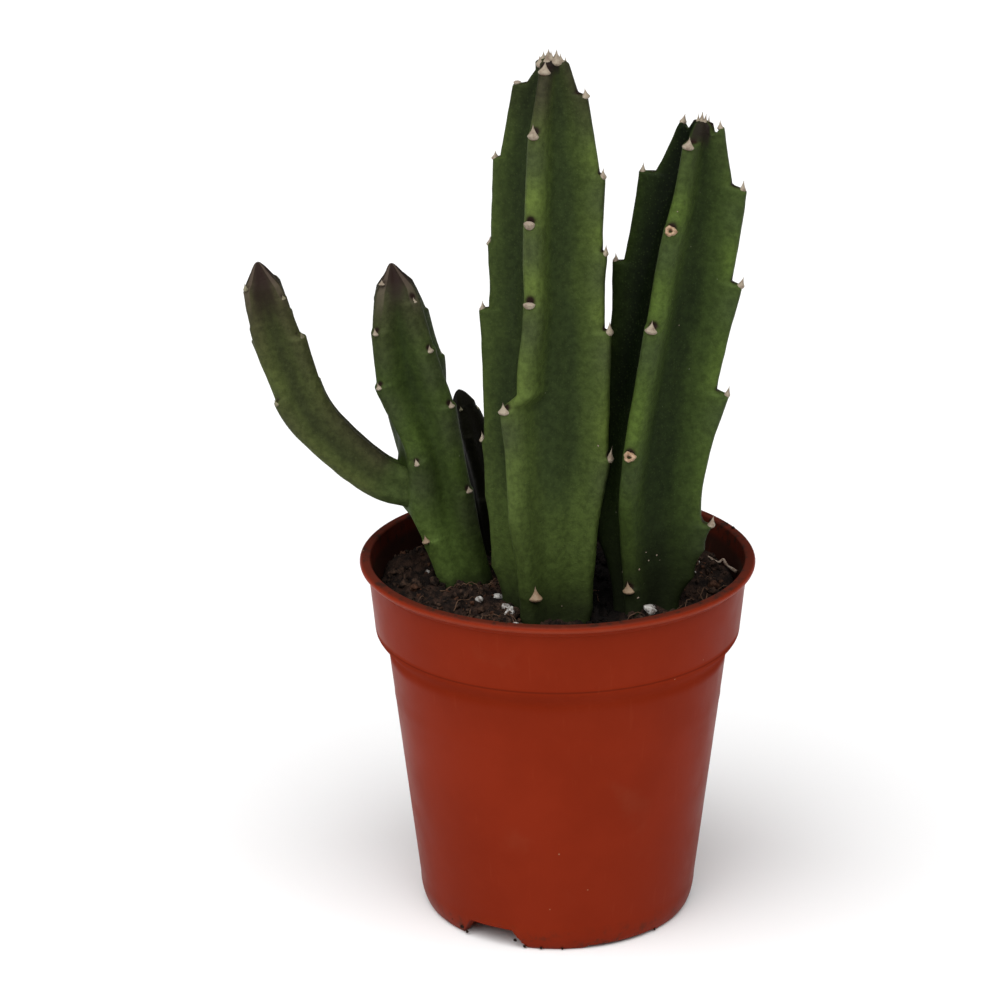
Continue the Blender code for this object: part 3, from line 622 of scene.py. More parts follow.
class Wire:
    """An output of a shader node: arithmetic on it adds nodes to the same tree."""

    def __init__(self, tree, socket):
        self.tree = tree
        self.socket = socket

    def out(self, key):
        """Another output of the same node."""
        return Wire(self.tree, self.socket.node.outputs[key])

    def before(self, operation, other):
        return self.tree.math(operation, self, other)

    def after(self, operation, other):
        return self.tree.math(operation, other, self)

    __add__ = partialmethod(before, "ADD")
    __sub__ = partialmethod(before, "SUBTRACT")
    __mul__ = partialmethod(before, "MULTIPLY")
    __truediv__ = partialmethod(before, "DIVIDE")
    __lt__ = partialmethod(before, "LESS_THAN")
    __rsub__ = partialmethod(after, "SUBTRACT")
    __rtruediv__ = partialmethod(after, "DIVIDE")

    def fade(self, zero, one, low=0.0, high=1.0):
        """A smooth step from low to high, as this goes from the value zero to the value one."""
        ends = {"From Min": zero, "From Max": one, "To Min": low, "To Max": high}
        return self.tree.node("MapRange", {"Value": self, **ends}, interpolation_type="SMOOTHSTEP")


class Tree:
    """A shader tree, in which each call adds a node and gives one output of it."""

    def __init__(self, tree):
        self.nodes = tree.nodes
        self.links = tree.links

    def node(self, kind, inputs, output=0, **settings):
        """A node's output, its inputs led from wires or set to plain values."""
        node = self.nodes.new("ShaderNode" + kind)
        for key, value in settings.items():
            setattr(node, key, value)
        for key, value in inputs.items():
            if isinstance(value, Wire):
                self.links.new(value.socket, node.inputs[key])
            else:
                node.inputs[key].default_value = value
        return Wire(self, node.outputs[output])

    def math(self, operation, *values):
        return self.node("Math", dict(enumerate(values)), operation=operation)

    def mix(self, factor, low, high, blend="MIX"):
        """One colour laid over another by a factor."""
        low, high = (value if isinstance(value, Wire) else (*value, 1.0) for value in (low, high))
        return self.node("Mix", {0: factor, 6: low, 7: high}, 2, data_type="RGBA", blend_type=blend)

    def place(self):
        return self.node("TexCoord", {}, "Object")

    def mask(self, name):
        return self.node("Attribute", {}, "Fac", attribute_name=name)

    def noise(self, size, detail=3.0, roughness=0.55, stretch=None):
        """Noise in the piece's own coordinates, with lumps of about the given size."""
        where = self.place()
        if stretch:
            where = self.node("Mapping", {"Vector": where, "Scale": stretch})
        settings = {"Scale": 1.0 / size, "Detail": detail, "Roughness": roughness}
        return self.node("TexNoise", {"Vector": where, **settings})

    def cells(self, size):
        """Distance from the middle of a random cell, with each cell's own colour."""
        return self.node("TexVoronoi", {"Vector": self.place(), "Scale": 1.0 / size})


COLOUR_SOCKETS = ("Colour", "Dark", "Light", "Dust")


class Group(Tree):
    """A shader group: its inputs by name with their usual values, as wires in given."""

    def __init__(self, name, **inputs):
        self.group = bpy.data.node_groups.new(name, "ShaderNodeTree")
        super().__init__(self.group)
        for key, value in inputs.items():
            self.add_socket(key, "INPUT").default_value = value
        entry = self.nodes.new("NodeGroupInput")
        self.given = {key: Wire(self, entry.outputs[key]) for key in inputs}

    def add_socket(self, key, way):
        kind = "NodeSocketColor" if key in COLOUR_SOCKETS else "NodeSocketFloat"
        return self.group.interface.new_socket(key, in_out=way, socket_type=kind)

    def finish(self, **outputs):
        """The group, with wires led to its outputs."""
        for key in outputs:
            self.add_socket(key, "OUTPUT")
        leave = self.nodes.new("NodeGroupOutput")
        for key, wire in outputs.items():
            self.links.new(wire.socket, leave.inputs[key])
        return self.group


def grain_group():
    """Fine pebbled grain: a height, and a mask of the raised dots."""
    tree = Group("grain", Size=0.0004, Share=0.5)
    size = tree.given["Size"]
    cells = tree.cells(size)
    chosen = tree.node("SeparateColor", {"Color": cells.out("Color")}) < tree.given["Share"]
    dots = cells.fade(0.42, 0.12) * chosen
    return tree.finish(Height=dots * 0.4 + tree.noise(size / 0.7, 3.0, 0.5), Dots=dots)


def mottle_group():
    """Two colours clouded into each other at a size, with finer clouds inside."""
    tree = Group("mottle", Dark=(0.1, 0.1, 0.1, 1.0), Light=(0.3, 0.3, 0.3, 1.0), Size=0.004, Bias=0.5)
    bias = tree.given["Bias"]
    mask = tree.noise(tree.given["Size"], 5.0, 0.6).fade(bias - 0.16, bias + 0.16)
    return tree.finish(Colour=tree.mix(mask, tree.given["Dark"], tree.given["Light"]))


def dust_group():
    """Loose pale dust over a colour: scattered specks and a few soft smears."""
    tree = Group("dust", Colour=(0.3, 0.3, 0.3, 1.0), Dust=(0.3, 0.25, 0.2, 1.0), Speck=0.0012, Smear=0.2)
    size = tree.given["Speck"]
    cells = tree.cells(size)
    chance = tree.node("SeparateColor", {"Color": cells.out("Color")})
    specks = (chance < 0.05) * (cells < chance.out(1) * 0.10) * 0.45
    smear = tree.noise(size / 0.12, 6.0, 0.5).fade(0.60, 0.80) * tree.given["Smear"]
    mask = tree.math("MAXIMUM", specks, smear)
    return tree.finish(Colour=tree.mix(mask, tree.given["Colour"], tree.given["Dust"]), Mask=mask)


GRAIN = grain_group()
MOTTLE = mottle_group()
DUST = dust_group()


class Looks(Tree):
    """A material, with the base colour that its layers have made so far."""

    def __init__(self, name, roughness, specular):
        self.material = bpy.data.materials.new(name)
        self.material.use_nodes = True
        super().__init__(self.material.node_tree)
        self.shader = self.nodes["Principled BSDF"]
        self.shader.inputs["Roughness"].default_value = roughness
        self.shader.inputs["Specular IOR Level"].default_value = specular

    def use(self, group, **inputs):
        """The first output of a group, its colours given as three numbers or as a wire."""
        node = self.nodes.new("ShaderNodeGroup")
        node.node_tree = group
        for key, value in inputs.items():
            if isinstance(value, Wire):
                self.links.new(value.socket, node.inputs[key])
            else:
                node.inputs[key].default_value = (*value, 1.0) if isinstance(value, tuple) else value
        return Wire(self, node.outputs[0])

    def grain(self, size, share):
        return self.use(GRAIN, Size=size, Share=share)

    def cloud(self, dark, light, size, bias):
        """A base clouded between two colours."""
        self.base = self.use(MOTTLE, Dark=dark, Light=light, Size=size, Bias=bias)

    def lay(self, over, factor):
        """A colour laid over the base by a factor."""
        self.base = self.mix(factor, self.base, over)

    def dim(self, value):
        """The base multiplied by a value."""
        grey = self.node("CombineColor", {"Red": value, "Green": value, "Blue": value})
        self.base = self.mix(1.0, self.base, grey, "MULTIPLY")

    def finish(self, height, depth):
        """The material, with its colour and its bumps led to the shader."""
        bumps = {"Height": height, "Strength": 1.0, "Distance": depth}
        self.links.new(self.base.socket, self.shader.inputs["Base Color"])
        self.links.new(self.node("Bump", bumps).socket, self.shader.inputs["Normal"])
        return self.material


def skin_material(name, valley, flank, crest, yellow, grey, young, top):
    """Matt stem skin: darker valleys, partly painted shade, paler crests, fine dots, brown
    young growth; painted shadow in a furrow, in the notches and near the soil, and
    painted light low on some stems.
    """
    skin = Looks(name + "_skin", 0.60, 0.06)
    shoot = name == "side_shoot"
    height = skin.mask("crest")
    swing = skin.noise(0.0050, 4.0, stretch=(1.0, 1.0, 0.45)) - 0.5
    level = height + swing * (0.35 if shoot else 0.6)
    # The valleys' darker colour is partly painted shade.
    skin.base = valley
    skin.lay(flank, level.fade(0.00, 0.38))
    skin.lay(crest, level.fade(0.40, 0.95))
    skin.lay(yellow, skin.mask("yellow"))
    skin.lay(grey, skin.mask("grey"))
    in_valley, on_crest = (tuple(share * value for value in top) for share in (0.5, 1.5))
    topmost = skin.mask("topmost") * height.fade(0.0, 1.0, 0.35, 0.95)
    skin.lay(skin.mix(height, in_valley, on_crest), topmost)
    if shoot:
        skin.lay(UPPER_BROWN, skin.mask("upper") * 0.85)
        skin.lay(JOINT_GREEN, (skin.mask("joint") + swing * 0.5).fade(0.2, 1.0))
    # Painted shadow in the furrow that faces the neighbouring stem.
    skin.lay(PAINTED_FURROW_SHADOW, skin.mask("furrow_shadow"))
    fine = skin.noise(0.0009, 5.0, 0.7).fade(0.3, 0.7, 0.72, 1.22)
    # Painted light: the lift mask brightens the skin low on the stem.
    skin.dim(fine * (skin.mask("lift") + 1.0))
    grain = skin.grain(0.00036, 0.5)
    skin.lay(tuple(1.2 * value + 0.012 for value in crest), grain.out("Dots") * 0.13)
    skin.lay(young, (skin.mask("young") + swing * 0.6).fade(0.25, 1.10, 0.0, 0.9))
    if name != "stem_back":
        skin.lay(BUD_BROWN, (skin.mask("bud") + swing * 0.8).fade(0.15, 1.0, 0.0, 0.80))
        skin.lay(SEAM_PALE, skin.mask("seam") * 0.35)
    # Painted shade: the skin darkens towards the soil.
    skin.lay(PAINTED_SHADE_NEAR_SOIL, skin.mask("base") * 0.80)
    skin.base = skin.use(DUST, Colour=skin.base, Dust=STEM_DUST, Smear=0.06)
    # Painted shadow in the notch above each tooth.
    skin.lay(PAINTED_NOTCH_SHADOW, skin.mask("notch_shadow"))
    return skin.finish(grain, 0.00007)


def tooth_material(name, dark, light, root, tip):
    """Dry teeth, clouded between two colours, with their own at the root and the tip."""
    tooth = Looks(name, 0.55, 0.2)
    rise = tooth.mask("rise")
    tooth.cloud(dark, light, 0.0007, 0.45)
    tooth.lay(SOILED_HORN, tooth.mask("age") * 0.65)
    tooth.lay(root, rise.fade(0.12, 0.01))
    tooth.lay(tip, rise.fade(0.60, 1.0, 0.0, 0.5))
    return tooth.finish(tooth.grain(0.00018, 0.5), 0.00004)


def scar_material():
    """A worn tooth: a corky tan ring round a brown middle."""
    cork = Looks("worn_cork", 0.75, 0.2)
    cork.cloud((0.20, 0.11, 0.06), (0.42, 0.29, 0.19), 0.0004, 0.45)
    cork.lay(SCAR_BROWN, cork.mask("rise").fade(0.52, 0.22))
    return cork.finish(cork.grain(0.00016, 0.5), 0.00006)


def plastic_material():
    """Thin satin polypropylene, with handling marks, dust and soil near its edges; painted shade
    towards the bottom, under the collar's edge and, with soil stains, inside; a painted
    highlight along the lip.
    """
    pot = Looks("pot_polypropylene", 0.40, 0.03)
    height = pot.node("SeparateXYZ", {"Vector": pot.place()}, "Z")
    inside = pot.mask("inside")
    pot.cloud((0.185, 0.0165, 0.0040), (0.205, 0.0190, 0.0050), 0.014, 0.5)
    dirt = height.fade(0.0045, 0.0004) * pot.noise(0.0016, 6.0, 0.7).fade(0.50, 0.66)
    pot.lay(DRIED_DIRT, dirt * 0.75)
    # Painted shade: the wall darkens towards the bottom.
    pot.dim(height.fade(0.0, 0.032, 0.90, 1.0))
    # Painted shade: a thin dark line just under the collar's edge, on the outside.
    from_edge = pot.math("ABSOLUTE", height - (COLLAR_BOTTOM - 0.0002))
    pot.lay(PAINTED_EDGE_SHADE, from_edge.fade(0.00020, 0.00004, 0.0, 0.42) * (1.0 - inside))
    # The inside: soil stains and a damp band near the soil, with painted shade darkening the whole inside
    # wall.
    stain_and_shade = pot.noise(0.0022, 7.0, 0.68).fade(0.46, 0.68).fade(0.0, 1.0, 0.68, 0.96)
    damp = height.fade(SOIL_LEVEL + 0.0060, SOIL_LEVEL + 0.0025, 0.0, 0.92)
    pot.lay(SOIL_STAIN_AND_SHADE, inside * pot.math("MAXIMUM", stain_and_shade, damp))
    dust = pot.use(DUST, Colour=pot.base, Dust=POT_DUST, Speck=0.0013, Smear=0.04)
    pot.base = dust
    scratches = pot.noise(0.0009, 2.0, 0.5, stretch=(1.0, 1.0, 0.06))
    pot.lay(SCRATCH_PALE, scratches.fade(0.66, 0.74, 0.0, 0.05))
    # Painted highlight along the lip's outer rows, set by the worn mask.
    pot.lay(PAINTED_LIP_HIGHLIGHT, pot.mask("worn") * 0.20)
    above_body = height.fade(SHOULDER_BOTTOM - 0.0014, SHOULDER_BOTTOM + 0.0002)
    on_collar = height.fade(COLLAR_BOTTOM - 0.0002, COLLAR_BOTTOM + 0.0006)
    matt = pot.math("MAXIMUM", (above_body - on_collar) * 0.55, dust.out("Mask") * 0.25)
    rough = pot.noise(0.006, 4.0).fade(0.3, 0.7, 0.33, 0.44) + matt
    pot.links.new(rough.socket, pot.shader.inputs["Roughness"])
    return pot.finish(pot.noise(0.0011), 0.000012)


def soil_material(name, dark, light, size):
    """Damp peat: near-black, with redder and paler crumbs, and a painted shadow between the front stems."""
    soil = Looks(name, 0.9, 0.12)
    soil.cloud(dark, light, size, 0.55)
    soil.lay(PEAT_RED, soil.mask("tone").fade(0.72, 1.0, 0.0, 0.55))
    grain = soil.grain(0.00032, 0.7)
    soil.lay(PEAT_PALE, grain.out("Dots") * 0.10)
    # Painted shadow on the soil between the front stems.
    soil.lay(PAINTED_SOIL_SHADOW, soil.mask("painted_shadow") * 0.93)
    return soil.finish(grain, 0.00022)


def perlite_material():
    """Foamed white grains, greyed by soil in their hollows."""
    foam = Looks("perlite_grain", 0.8, 0.3)
    foam.cloud((0.09, 0.07, 0.06), (0.43, 0.415, 0.39), 0.0007, 0.46)
    return foam.finish(foam.grain(0.0002, 0.6), 0.0001)


def fibre_material(name, dark, light):
    """Dry roots and fibres, clouded between two browns."""
    fibre = Looks(name, 0.8, 0.25)
    fibre.cloud(dark, light, 0.0009, 0.5)
    return fibre.finish(fibre.grain(0.0001, 0.5), 0.00003)


POT_PLASTIC = plastic_material()
PEAT = soil_material("peat", (0.0045, 0.0027, 0.0020), (0.030, 0.016, 0.0105), 0.0015)
CRUMB_DARK = soil_material("crumb_dark", (0.007, 0.0042, 0.003), (0.056, 0.032, 0.021), 0.0007)
PERLITE_WHITE = perlite_material()
ROOT_TAN = fibre_material("root_tan", (0.16, 0.11, 0.08), (0.36, 0.29, 0.23))
FIBRE_BROWN = fibre_material("fibre_brown", (0.030, 0.014, 0.008), (0.110, 0.060, 0.034))
TOOTH_HORN = tooth_material(
    "tooth_horn", (0.19, 0.140, 0.102), (0.30, 0.252, 0.188), (0.11, 0.055, 0.035), (0.26, 0.20, 0.17)
)
TOOTH_YOUNG = tooth_material(
    "tooth_young", (0.075, 0.066, 0.036), (0.21, 0.19, 0.12), (0.05, 0.032, 0.018), (0.12, 0.095, 0.065)
)
WORN_CORK = scar_material()
SKINS = {name: skin_material(name, *colours) for name, colours in GREENS.items()}


# Pot


def arc(centre, radius, start, end, steps):
    """Points of an arc as (radius, height), angles in degrees from outward to upward."""
    angles = np.radians(np.linspace(start, end, steps + 1))
    return np.array(centre) + radius * np.stack([np.cos(angles), np.sin(angles)], -1)


def straight(start, end, steps):
    """Evenly spaced points from one (radius, height) towards another, without the last."""
    share = np.linspace(0, 1, steps, endpoint=False)[:, None]
    return np.array(start) * (1 - share) + np.array(end) * share


def wall_inside(z):
    """Inner radius of the body wall, and of the collar above it."""
    body = np.interp(z, [CORNER_HEIGHT, SHOULDER_BOTTOM], [CORNER_RADIUS, SHOULDER_RADIUS])
    collar = np.interp(z, [COLLAR_BOTTOM, POT_HEIGHT], [COLLAR_RADIUS - COLLAR_TAPER, RIM_INSIDE + WALL])
    return body + (collar - body) * fade(z, SHOULDER_BOTTOM, COLLAR_BOTTOM) - WALL


def pot_profile():
    """The pot's wall as (radius, height), from its underside's middle to its floor's.

    Up the outside: foot ring, round corner, straight body with a faint ring, the
    shoulder as a chamfer with eased edges, collar, rolled lip as an arc; then down the
    inside. With it comes the number of rows on the outside.
    """
    foot_inner = FOOT_RADIUS - FOOT_WIDTH
    foot_outer = FOOT_RADIUS - EDGE_ROUNDING
    turn = np.linspace(0, 1, 12, endpoint=False)
    corner_out = foot_outer + (CORNER_RADIUS - foot_outer) * np.sin(0.5 * np.pi * turn) ** 0.75
    body_z = np.linspace(CORNER_HEIGHT, SHOULDER_BOTTOM, 40, endpoint=False)
    ring = 0.00005 * np.exp(-(((body_z - BODY_LINE) / 0.0004) ** 2))
    rise = np.linspace(0, 1, 14, endpoint=False)
    width = COLLAR_RADIUS - COLLAR_TAPER - SHOULDER_RADIUS
    shoulder_out = SHOULDER_RADIUS + width * (0.25 * rise + 0.75 * ease(1.25 * rise - 0.125))
    lip_radius = LIP_HEIGHT / 2
    outside = [
        straight((MIDDLE, FLOOR_BOTTOM), (foot_inner, FLOOR_BOTTOM), 10),
        straight((foot_inner, FLOOR_BOTTOM), (foot_inner, 0.0), 8),
        straight((foot_inner, 0.0), (foot_outer, 0.0), 3),
        np.stack([corner_out, CORNER_HEIGHT * turn**1.15], -1),
        np.stack([wall_inside(body_z) + WALL + ring, body_z], -1),
        np.stack([shoulder_out, SHOULDER_BOTTOM + (COLLAR_BOTTOM - SHOULDER_BOTTOM) * rise], -1),
        straight(
            (COLLAR_RADIUS - COLLAR_TAPER, COLLAR_BOTTOM),
            (COLLAR_RADIUS - 0.0001, POT_HEIGHT - LIP_HEIGHT),
            12,
        ),
        arc((RIM_RADIUS - lip_radius, POT_HEIGHT - lip_radius), lip_radius, -90, 80, LIP_STEPS),
    ]
    floor_edge = wall_inside(FLOOR_TOP) - FLOOR_CORNER
    inner_z = np.linspace(POT_HEIGHT - 2 * EDGE_ROUNDING, FLOOR_TOP + FLOOR_CORNER, 40)
    inside = [
        arc((RIM_INSIDE + EDGE_ROUNDING, POT_HEIGHT - EDGE_ROUNDING), EDGE_ROUNDING, 90, 180, 5),
        np.stack([wall_inside(inner_z), inner_z], -1),
        arc((floor_edge, FLOOR_TOP + FLOOR_CORNER), FLOOR_CORNER, 0, -90, 5)[1:],
        straight((floor_edge, FLOOR_TOP), (MIDDLE, FLOOR_TOP), 10)[1:],
    ]
    return np.vstack(outside + inside), sum(len(part) for part in outside)


def foot_gap(angle):
    """Height of the gap in the foot ring: flat in each notch, sloping at its ends."""
    height = np.zeros_like(angle)
    for azimuths, at_foot, at_top, rise in FOOT_GAPS:
        for azimuth in azimuths:
            along = np.abs(turn_between(angle, azimuth)) * (FOOT_RADIUS - FOOT_WIDTH / 2)
            height = np.maximum(height, rise * np.clip((at_foot - along) / (at_foot - at_top), 0, 1))
    return height


def build_pot():
    """The profile turned about the axis, its lowest rows lifted out of the foot's gaps."""
    rows, outside = pot_profile()
    radius, height = rows[:, :1], rows[:, 1:]
    turn = ring_turns(POT_COLUMNS)
    lifted = np.maximum(height, np.minimum(foot_gap(turn), FLOOR_BOTTOM))
    flat = np.stack([np.sin(turn), -np.cos(turn), np.zeros_like(turn)], -1)
    wobble = 0.00005 * lumps(flat * 0.02 + radius[:, None] * 0.1, 0.012, 3) * ease(height / POT_HEIGHT)
    points = flat * (radius + wobble)[..., None]
    points[..., 2] = np.where(height < CORNER_HEIGHT, lifted, height)
    inner = (np.arange(len(rows)) >= outside).astype(float)
    # The worn rows carry the lip's painted highlight.
    worn = np.zeros(len(rows))
    inner[outside - len(LIP_INSIDE) : outside] = LIP_INSIDE
    worn[outside - LIP_STEPS : outside - LIP_STEPS + len(LIP_HIGHLIGHT)] = LIP_HIGHLIGHT
    attributes = {
        "inside": np.append(np.repeat(inner, POT_COLUMNS), [0, 1]),
        "worn": np.append(np.repeat(worn, POT_COLUMNS), [0, 0]),
    }
    vertices = np.vstack([points.reshape(-1, 3), [0, 0, FLOOR_BOTTOM], [0, 0, FLOOR_TOP]])
    faces = capped_faces(len(rows), POT_COLUMNS)
    pot = add_piece("pot_wall", vertices, faces, POT_PLASTIC, attributes, CRISP)
    cut_drain_holes(pot)
    return pot


def cut_drain_holes(pot):
    """Round holes through the floor, cut with cylinders that are then removed."""
    middle = (FLOOR_BOTTOM + FLOOR_TOP) / 2
    for turn in ring_turns(DRAIN_HOLES):
        place = (POT_AXIS[0] + DRAIN_CIRCLE * math.sin(turn), DRAIN_CIRCLE * math.cos(turn), middle)
        bpy.ops.mesh.primitive_cylinder_add(vertices=32, radius=DRAIN_RADIUS, depth=0.003, location=place)
        cutter = bpy.context.object
        modifier = pot.modifiers.new("hole", "BOOLEAN")
        modifier.operation = "DIFFERENCE"
        modifier.object = cutter
        graph = bpy.context.evaluated_depsgraph_get()
        graph.update()
        mesh = bpy.data.meshes.new_from_object(pot.evaluated_get(graph), depsgraph=graph)
        pot.modifiers.clear()
        pot.data = mesh
        bpy.data.objects.remove(cutter)


# Stems


def smooth_line(points, steps=24):
    """A Catmull-Rom curve through the points, as an array, and the distance along it."""
    known = np.vstack([2 * points[0] - points[1], points, 2 * points[-1] - points[-2]])
    a, b, c, d = (known[i : len(known) - 3 + i, None] for i in range(4))
    t = np.linspace(0, 1, steps, endpoint=False)[None, :, None]
    curve = 2 * b + (c - a) * t + (2 * a - 5 * b + 4 * c - d) * t**2
    curve = 0.5 * (curve + (3 * b - a - 3 * c + d) * t**3)
    curve = np.vstack([curve.reshape(-1, 3), known[-2]])
    lengths = np.linalg.norm(np.diff(curve, axis=0), axis=1)
    return curve, np.concatenate([[0.0], np.cumsum(lengths)])


def line_length(stem):
    return smooth_line(stem.line)[1][-1]


def line_frame(stem, distance):
    """Centre, tangent, forward and sideways directions at a distance along a stem."""
    curve, along = smooth_line(stem.line)
    slope = np.gradient(curve, along, axis=0)
    centre, tangent = (
        np.stack([np.interp(distance, along, column) for column in values.T], -1) for values in (curve, slope)
    )
    tangent = unit(tangent)
    forward = unit(np.array([0.0, -1.0, 0.0]) + tangent[..., 1:2] * tangent)
    return centre, tangent, forward, np.cross(tangent, forward)


def rib_stations(stem, teeth):
    """Foot, base, teeth and tip of a rib: distances, azimuths, crest radii and steps."""
    distances, azimuths, radii, steps = np.array(teeth).T[:4]
    distances = np.concatenate([[0.0, stem.leaves], distances, [line_length(stem)]])
    azimuths = np.concatenate([azimuths[[0, 0]], azimuths, azimuths[[-1]]])
    radii = np.concatenate([[stem.foot, stem.base], radii, [stem.tip]])
    steps = np.concatenate([[0.0, 0.0], steps, [0.0]])
    return distances, np.radians(azimuths), radii, steps


def crest_at(stem, teeth, distance):
    """A rib's azimuth, its crest's radius, and that radius smoothed over the steps.

    The crest swells to a tooth, then steps back.
    """
    at, azimuths, peaks, steps = rib_stations(stem, teeth)
    i = np.clip(np.searchsorted(at, distance, side="right") - 1, 0, len(at) - 2)
    azimuth = azimuths[i] + (azimuths[i + 1] - azimuths[i]) * fade(distance, at[i], at[i + 1])
    fallen = peaks[i] - steps[i]
    start = at[i] + np.where(steps[i] > 0, STEP_LENGTH, 0.0)
    rise = np.clip((distance - start) / (at[i + 1] - start), 0.0, 1.0)
    power = np.where((peaks[i + 1] > fallen) & (i > 0), FLARE, 1.0)
    rising = fallen + (peaks[i + 1] - fallen) * rise**power
    falling = peaks[i] + (fallen - peaks[i]) * ease((distance - at[i]) / STEP_LENGTH)
    return azimuth, np.where(distance < start, falling, rising), np.interp(distance, at, peaks - 0.6 * steps)


def swelling_at(stem, angle, distance):
    """How far a side shoot's root swells the skin: a bell along and round the stem."""
    if not stem.swelling:
        return 0.0 * distance
    at, azimuth, height, reach, spread = stem.swelling
    away = turn_between(angle, azimuth) / math.radians(spread)
    return height * np.exp(-(((distance - at) / reach) ** 2) - away**2)


def skin_points(stem, distance, around, seed):
    """Points of a stem's skin, how near each is to a pale crest from 0 to 1, and radii.

    The radius is the valley's, plus for each rib the crest's height over the valley
    times share = 1 / (1 + (angle from the crest / half width) ** CREST_SHARPNESS), plus
    the step times share ** 3, plus a little noise. Beside the bud the side ribs' tops
    are pushed down the line by up to stem.notch, which leaves a cut.
    """
    crests = [crest_at(stem, teeth, distance) for teeth in stem.ribs]
    azimuths = np.stack([crest[0] for crest in crests] + [crests[0][0] + math.tau])
    quarter = np.floor(around).astype(int)
    low = np.take_along_axis(azimuths, quarter[None], 0)[0]
    high = np.take_along_axis(azimuths, quarter[None] + 1, 0)[0]
    angle = low + (high - low) * (around - quarter)
    from_tip = line_length(stem) - distance
    rounding = 1 - fade(distance / stem.leaves, BURIED_FROM, BURIED_TO)
    mean = np.mean([peak for _, _, peak in crests], axis=0)
    valley = mean * (stem.valley + (1 - stem.valley) * rounding)
    radius = valley.copy()
    nearest = np.zeros_like(radius)
    sunk = np.zeros_like(radius)
    thinning = 0.0 if stem.pointed else TIP_THINNING * fade(from_tip, *TIP_THINS)
    for number, (azimuth, edge, peak) in enumerate(crests):
        away = np.abs((angle - azimuth + math.pi) % math.tau - math.pi)
        thickness = stem.half_thickness * (1 - thinning)
        half_width = np.minimum(2 * thickness / (peak + valley), WIDEST_RIB)
        share = 1 / (1 + (away / half_width) ** CREST_SHARPNESS)
        radius += (peak - valley) * share + (edge - peak) * share**3
        nearest = np.maximum(nearest, share * stem.tones[number])
        if number % 2:
            last, _, corner, _, _ = stem.ribs[number][-1]
            deepens, deepest = (corner - inside for inside in CUT_WIDTH)
            top = fade(distance, last - CUT_LENGTH, last) * fade(radius, deepens, deepest)
            sunk += top * fade(share, 0.0, CUT_FULL) * fade(radius, stem.bud, stem.bud + BUD_EDGE)
    radius += swelling_at(stem, angle, distance)
    centre, tangent, forward, side = line_frame(stem, distance)
    centre = centre - (stem.notch * sunk)[..., None] * tangent
    out = np.cos(angle)[..., None] * forward + np.sin(angle)[..., None] * side
    bare = centre + radius[..., None] * out
    for number, (height, size) in enumerate(SKIN_RELIEF):
        radius = radius + height * lumps(bare, size, seed + number)
    into_nose = np.clip(1 - from_tip / stem.nose, 0.0, 1.0)
    radius = radius * ((1 - into_nose) ** POINTED_NOSE if stem.pointed else (1 - into_nose**2) ** ROUND_NOSE)
    return centre + radius[..., None] * out, nearest, radius


def stem_columns(count):
    """Places round a stem, in quarter turns, crowded towards the four crests."""
    share = np.arange(count) / count
    share = share - CREST_CROWDING * np.sin(math.tau * share) / math.tau
    return (np.arange(4)[:, None] + share[None]).ravel()


def crest_point(stem, teeth, distance):
    """A point of a rib's crest, and the outward and tangent directions there."""
    azimuth, radius, _ = crest_at(stem, teeth, distance)
    radius = radius + swelling_at(stem, azimuth, distance)
    centre, tangent, forward, side = line_frame(stem, distance)
    out = math.cos(azimuth) * forward + math.sin(azimuth) * side
    return centre + radius * out, out, tangent


def tooth_sites(stem, worn):
    """The teeth, or the worn ones: place, outward, upward, step, length and half width.

    Upward is half way between the line's direction and the crest's own slope. The teeth
    of the side ribs stand a little inside the edge.
    """
    sites = []
    for number, teeth in enumerate(stem.ribs):
        for index, (distance, _, _, step, length) in enumerate(teeth):
            if length == 0.0 or ((number, index) in stem.worn) != worn:
                continue
            place, out, tangent = crest_point(stem, teeth, distance)
            below, _, _ = crest_point(stem, teeth, distance - MM)
            upward = unit(tangent + unit(place - below))
            out = unit(out - (out @ upward) * upward)
            if number % 2:
                place = place - SIDE_INSET * step * out + SIDE_RAISE * upward
            sites.append((place, out, upward, step, length, stem.tooth_widths[number % 2]))
    return sites


def bell_round(points, middle, upward, reach, stretch):
    """A bell of the distance from a middle, stretched along the stem."""
    away = points - middle
    along = away @ upward
    across = np.linalg.norm(away - along[..., None] * upward, axis=-1)
    return np.exp(-((across / reach) ** 2) - (along / (reach * stretch)) ** 2)


def tooth_masks(stem, points):
    """Where a painted shadow lies in the notch above a tooth, with yellower skin above and greyer below."""
    masks = dict.fromkeys(("notch_shadow", "yellow", "grey"), 0.0)
    for place, out, upward, step, length, width in tooth_sites(stem, False) + tooth_sites(stem, True):
        notch_shadow = (
            NOTCH_SHADOW_INSIDE[0] + NOTCH_SHADOW_INSIDE[1] * step,
            NOTCH_SHADOW_ABOVE[0] + NOTCH_SHADOW_ABOVE[1] * width + (NOTCH_SHADOW_RAISED if length < BLUNT * width else 0.0),
            NOTCH_SHADOW_REACH[0] + NOTCH_SHADOW_REACH[1] * width,
            1.0,
        )
        depths = {"notch_shadow": fade(width, 0.0, NOTCH_SHADOW_FULL) ** 2, "yellow": 1.0, "grey": 1.0}
        for key, (inside, above, reach, stretch) in zip(masks, (notch_shadow, YELLOW_ABOVE, GREY_BELOW)):
            bell = bell_round(points, place - inside * out + above * upward, upward, reach, stretch)
            masks[key] = np.maximum(masks[key], depths[key] * bell)
    return masks


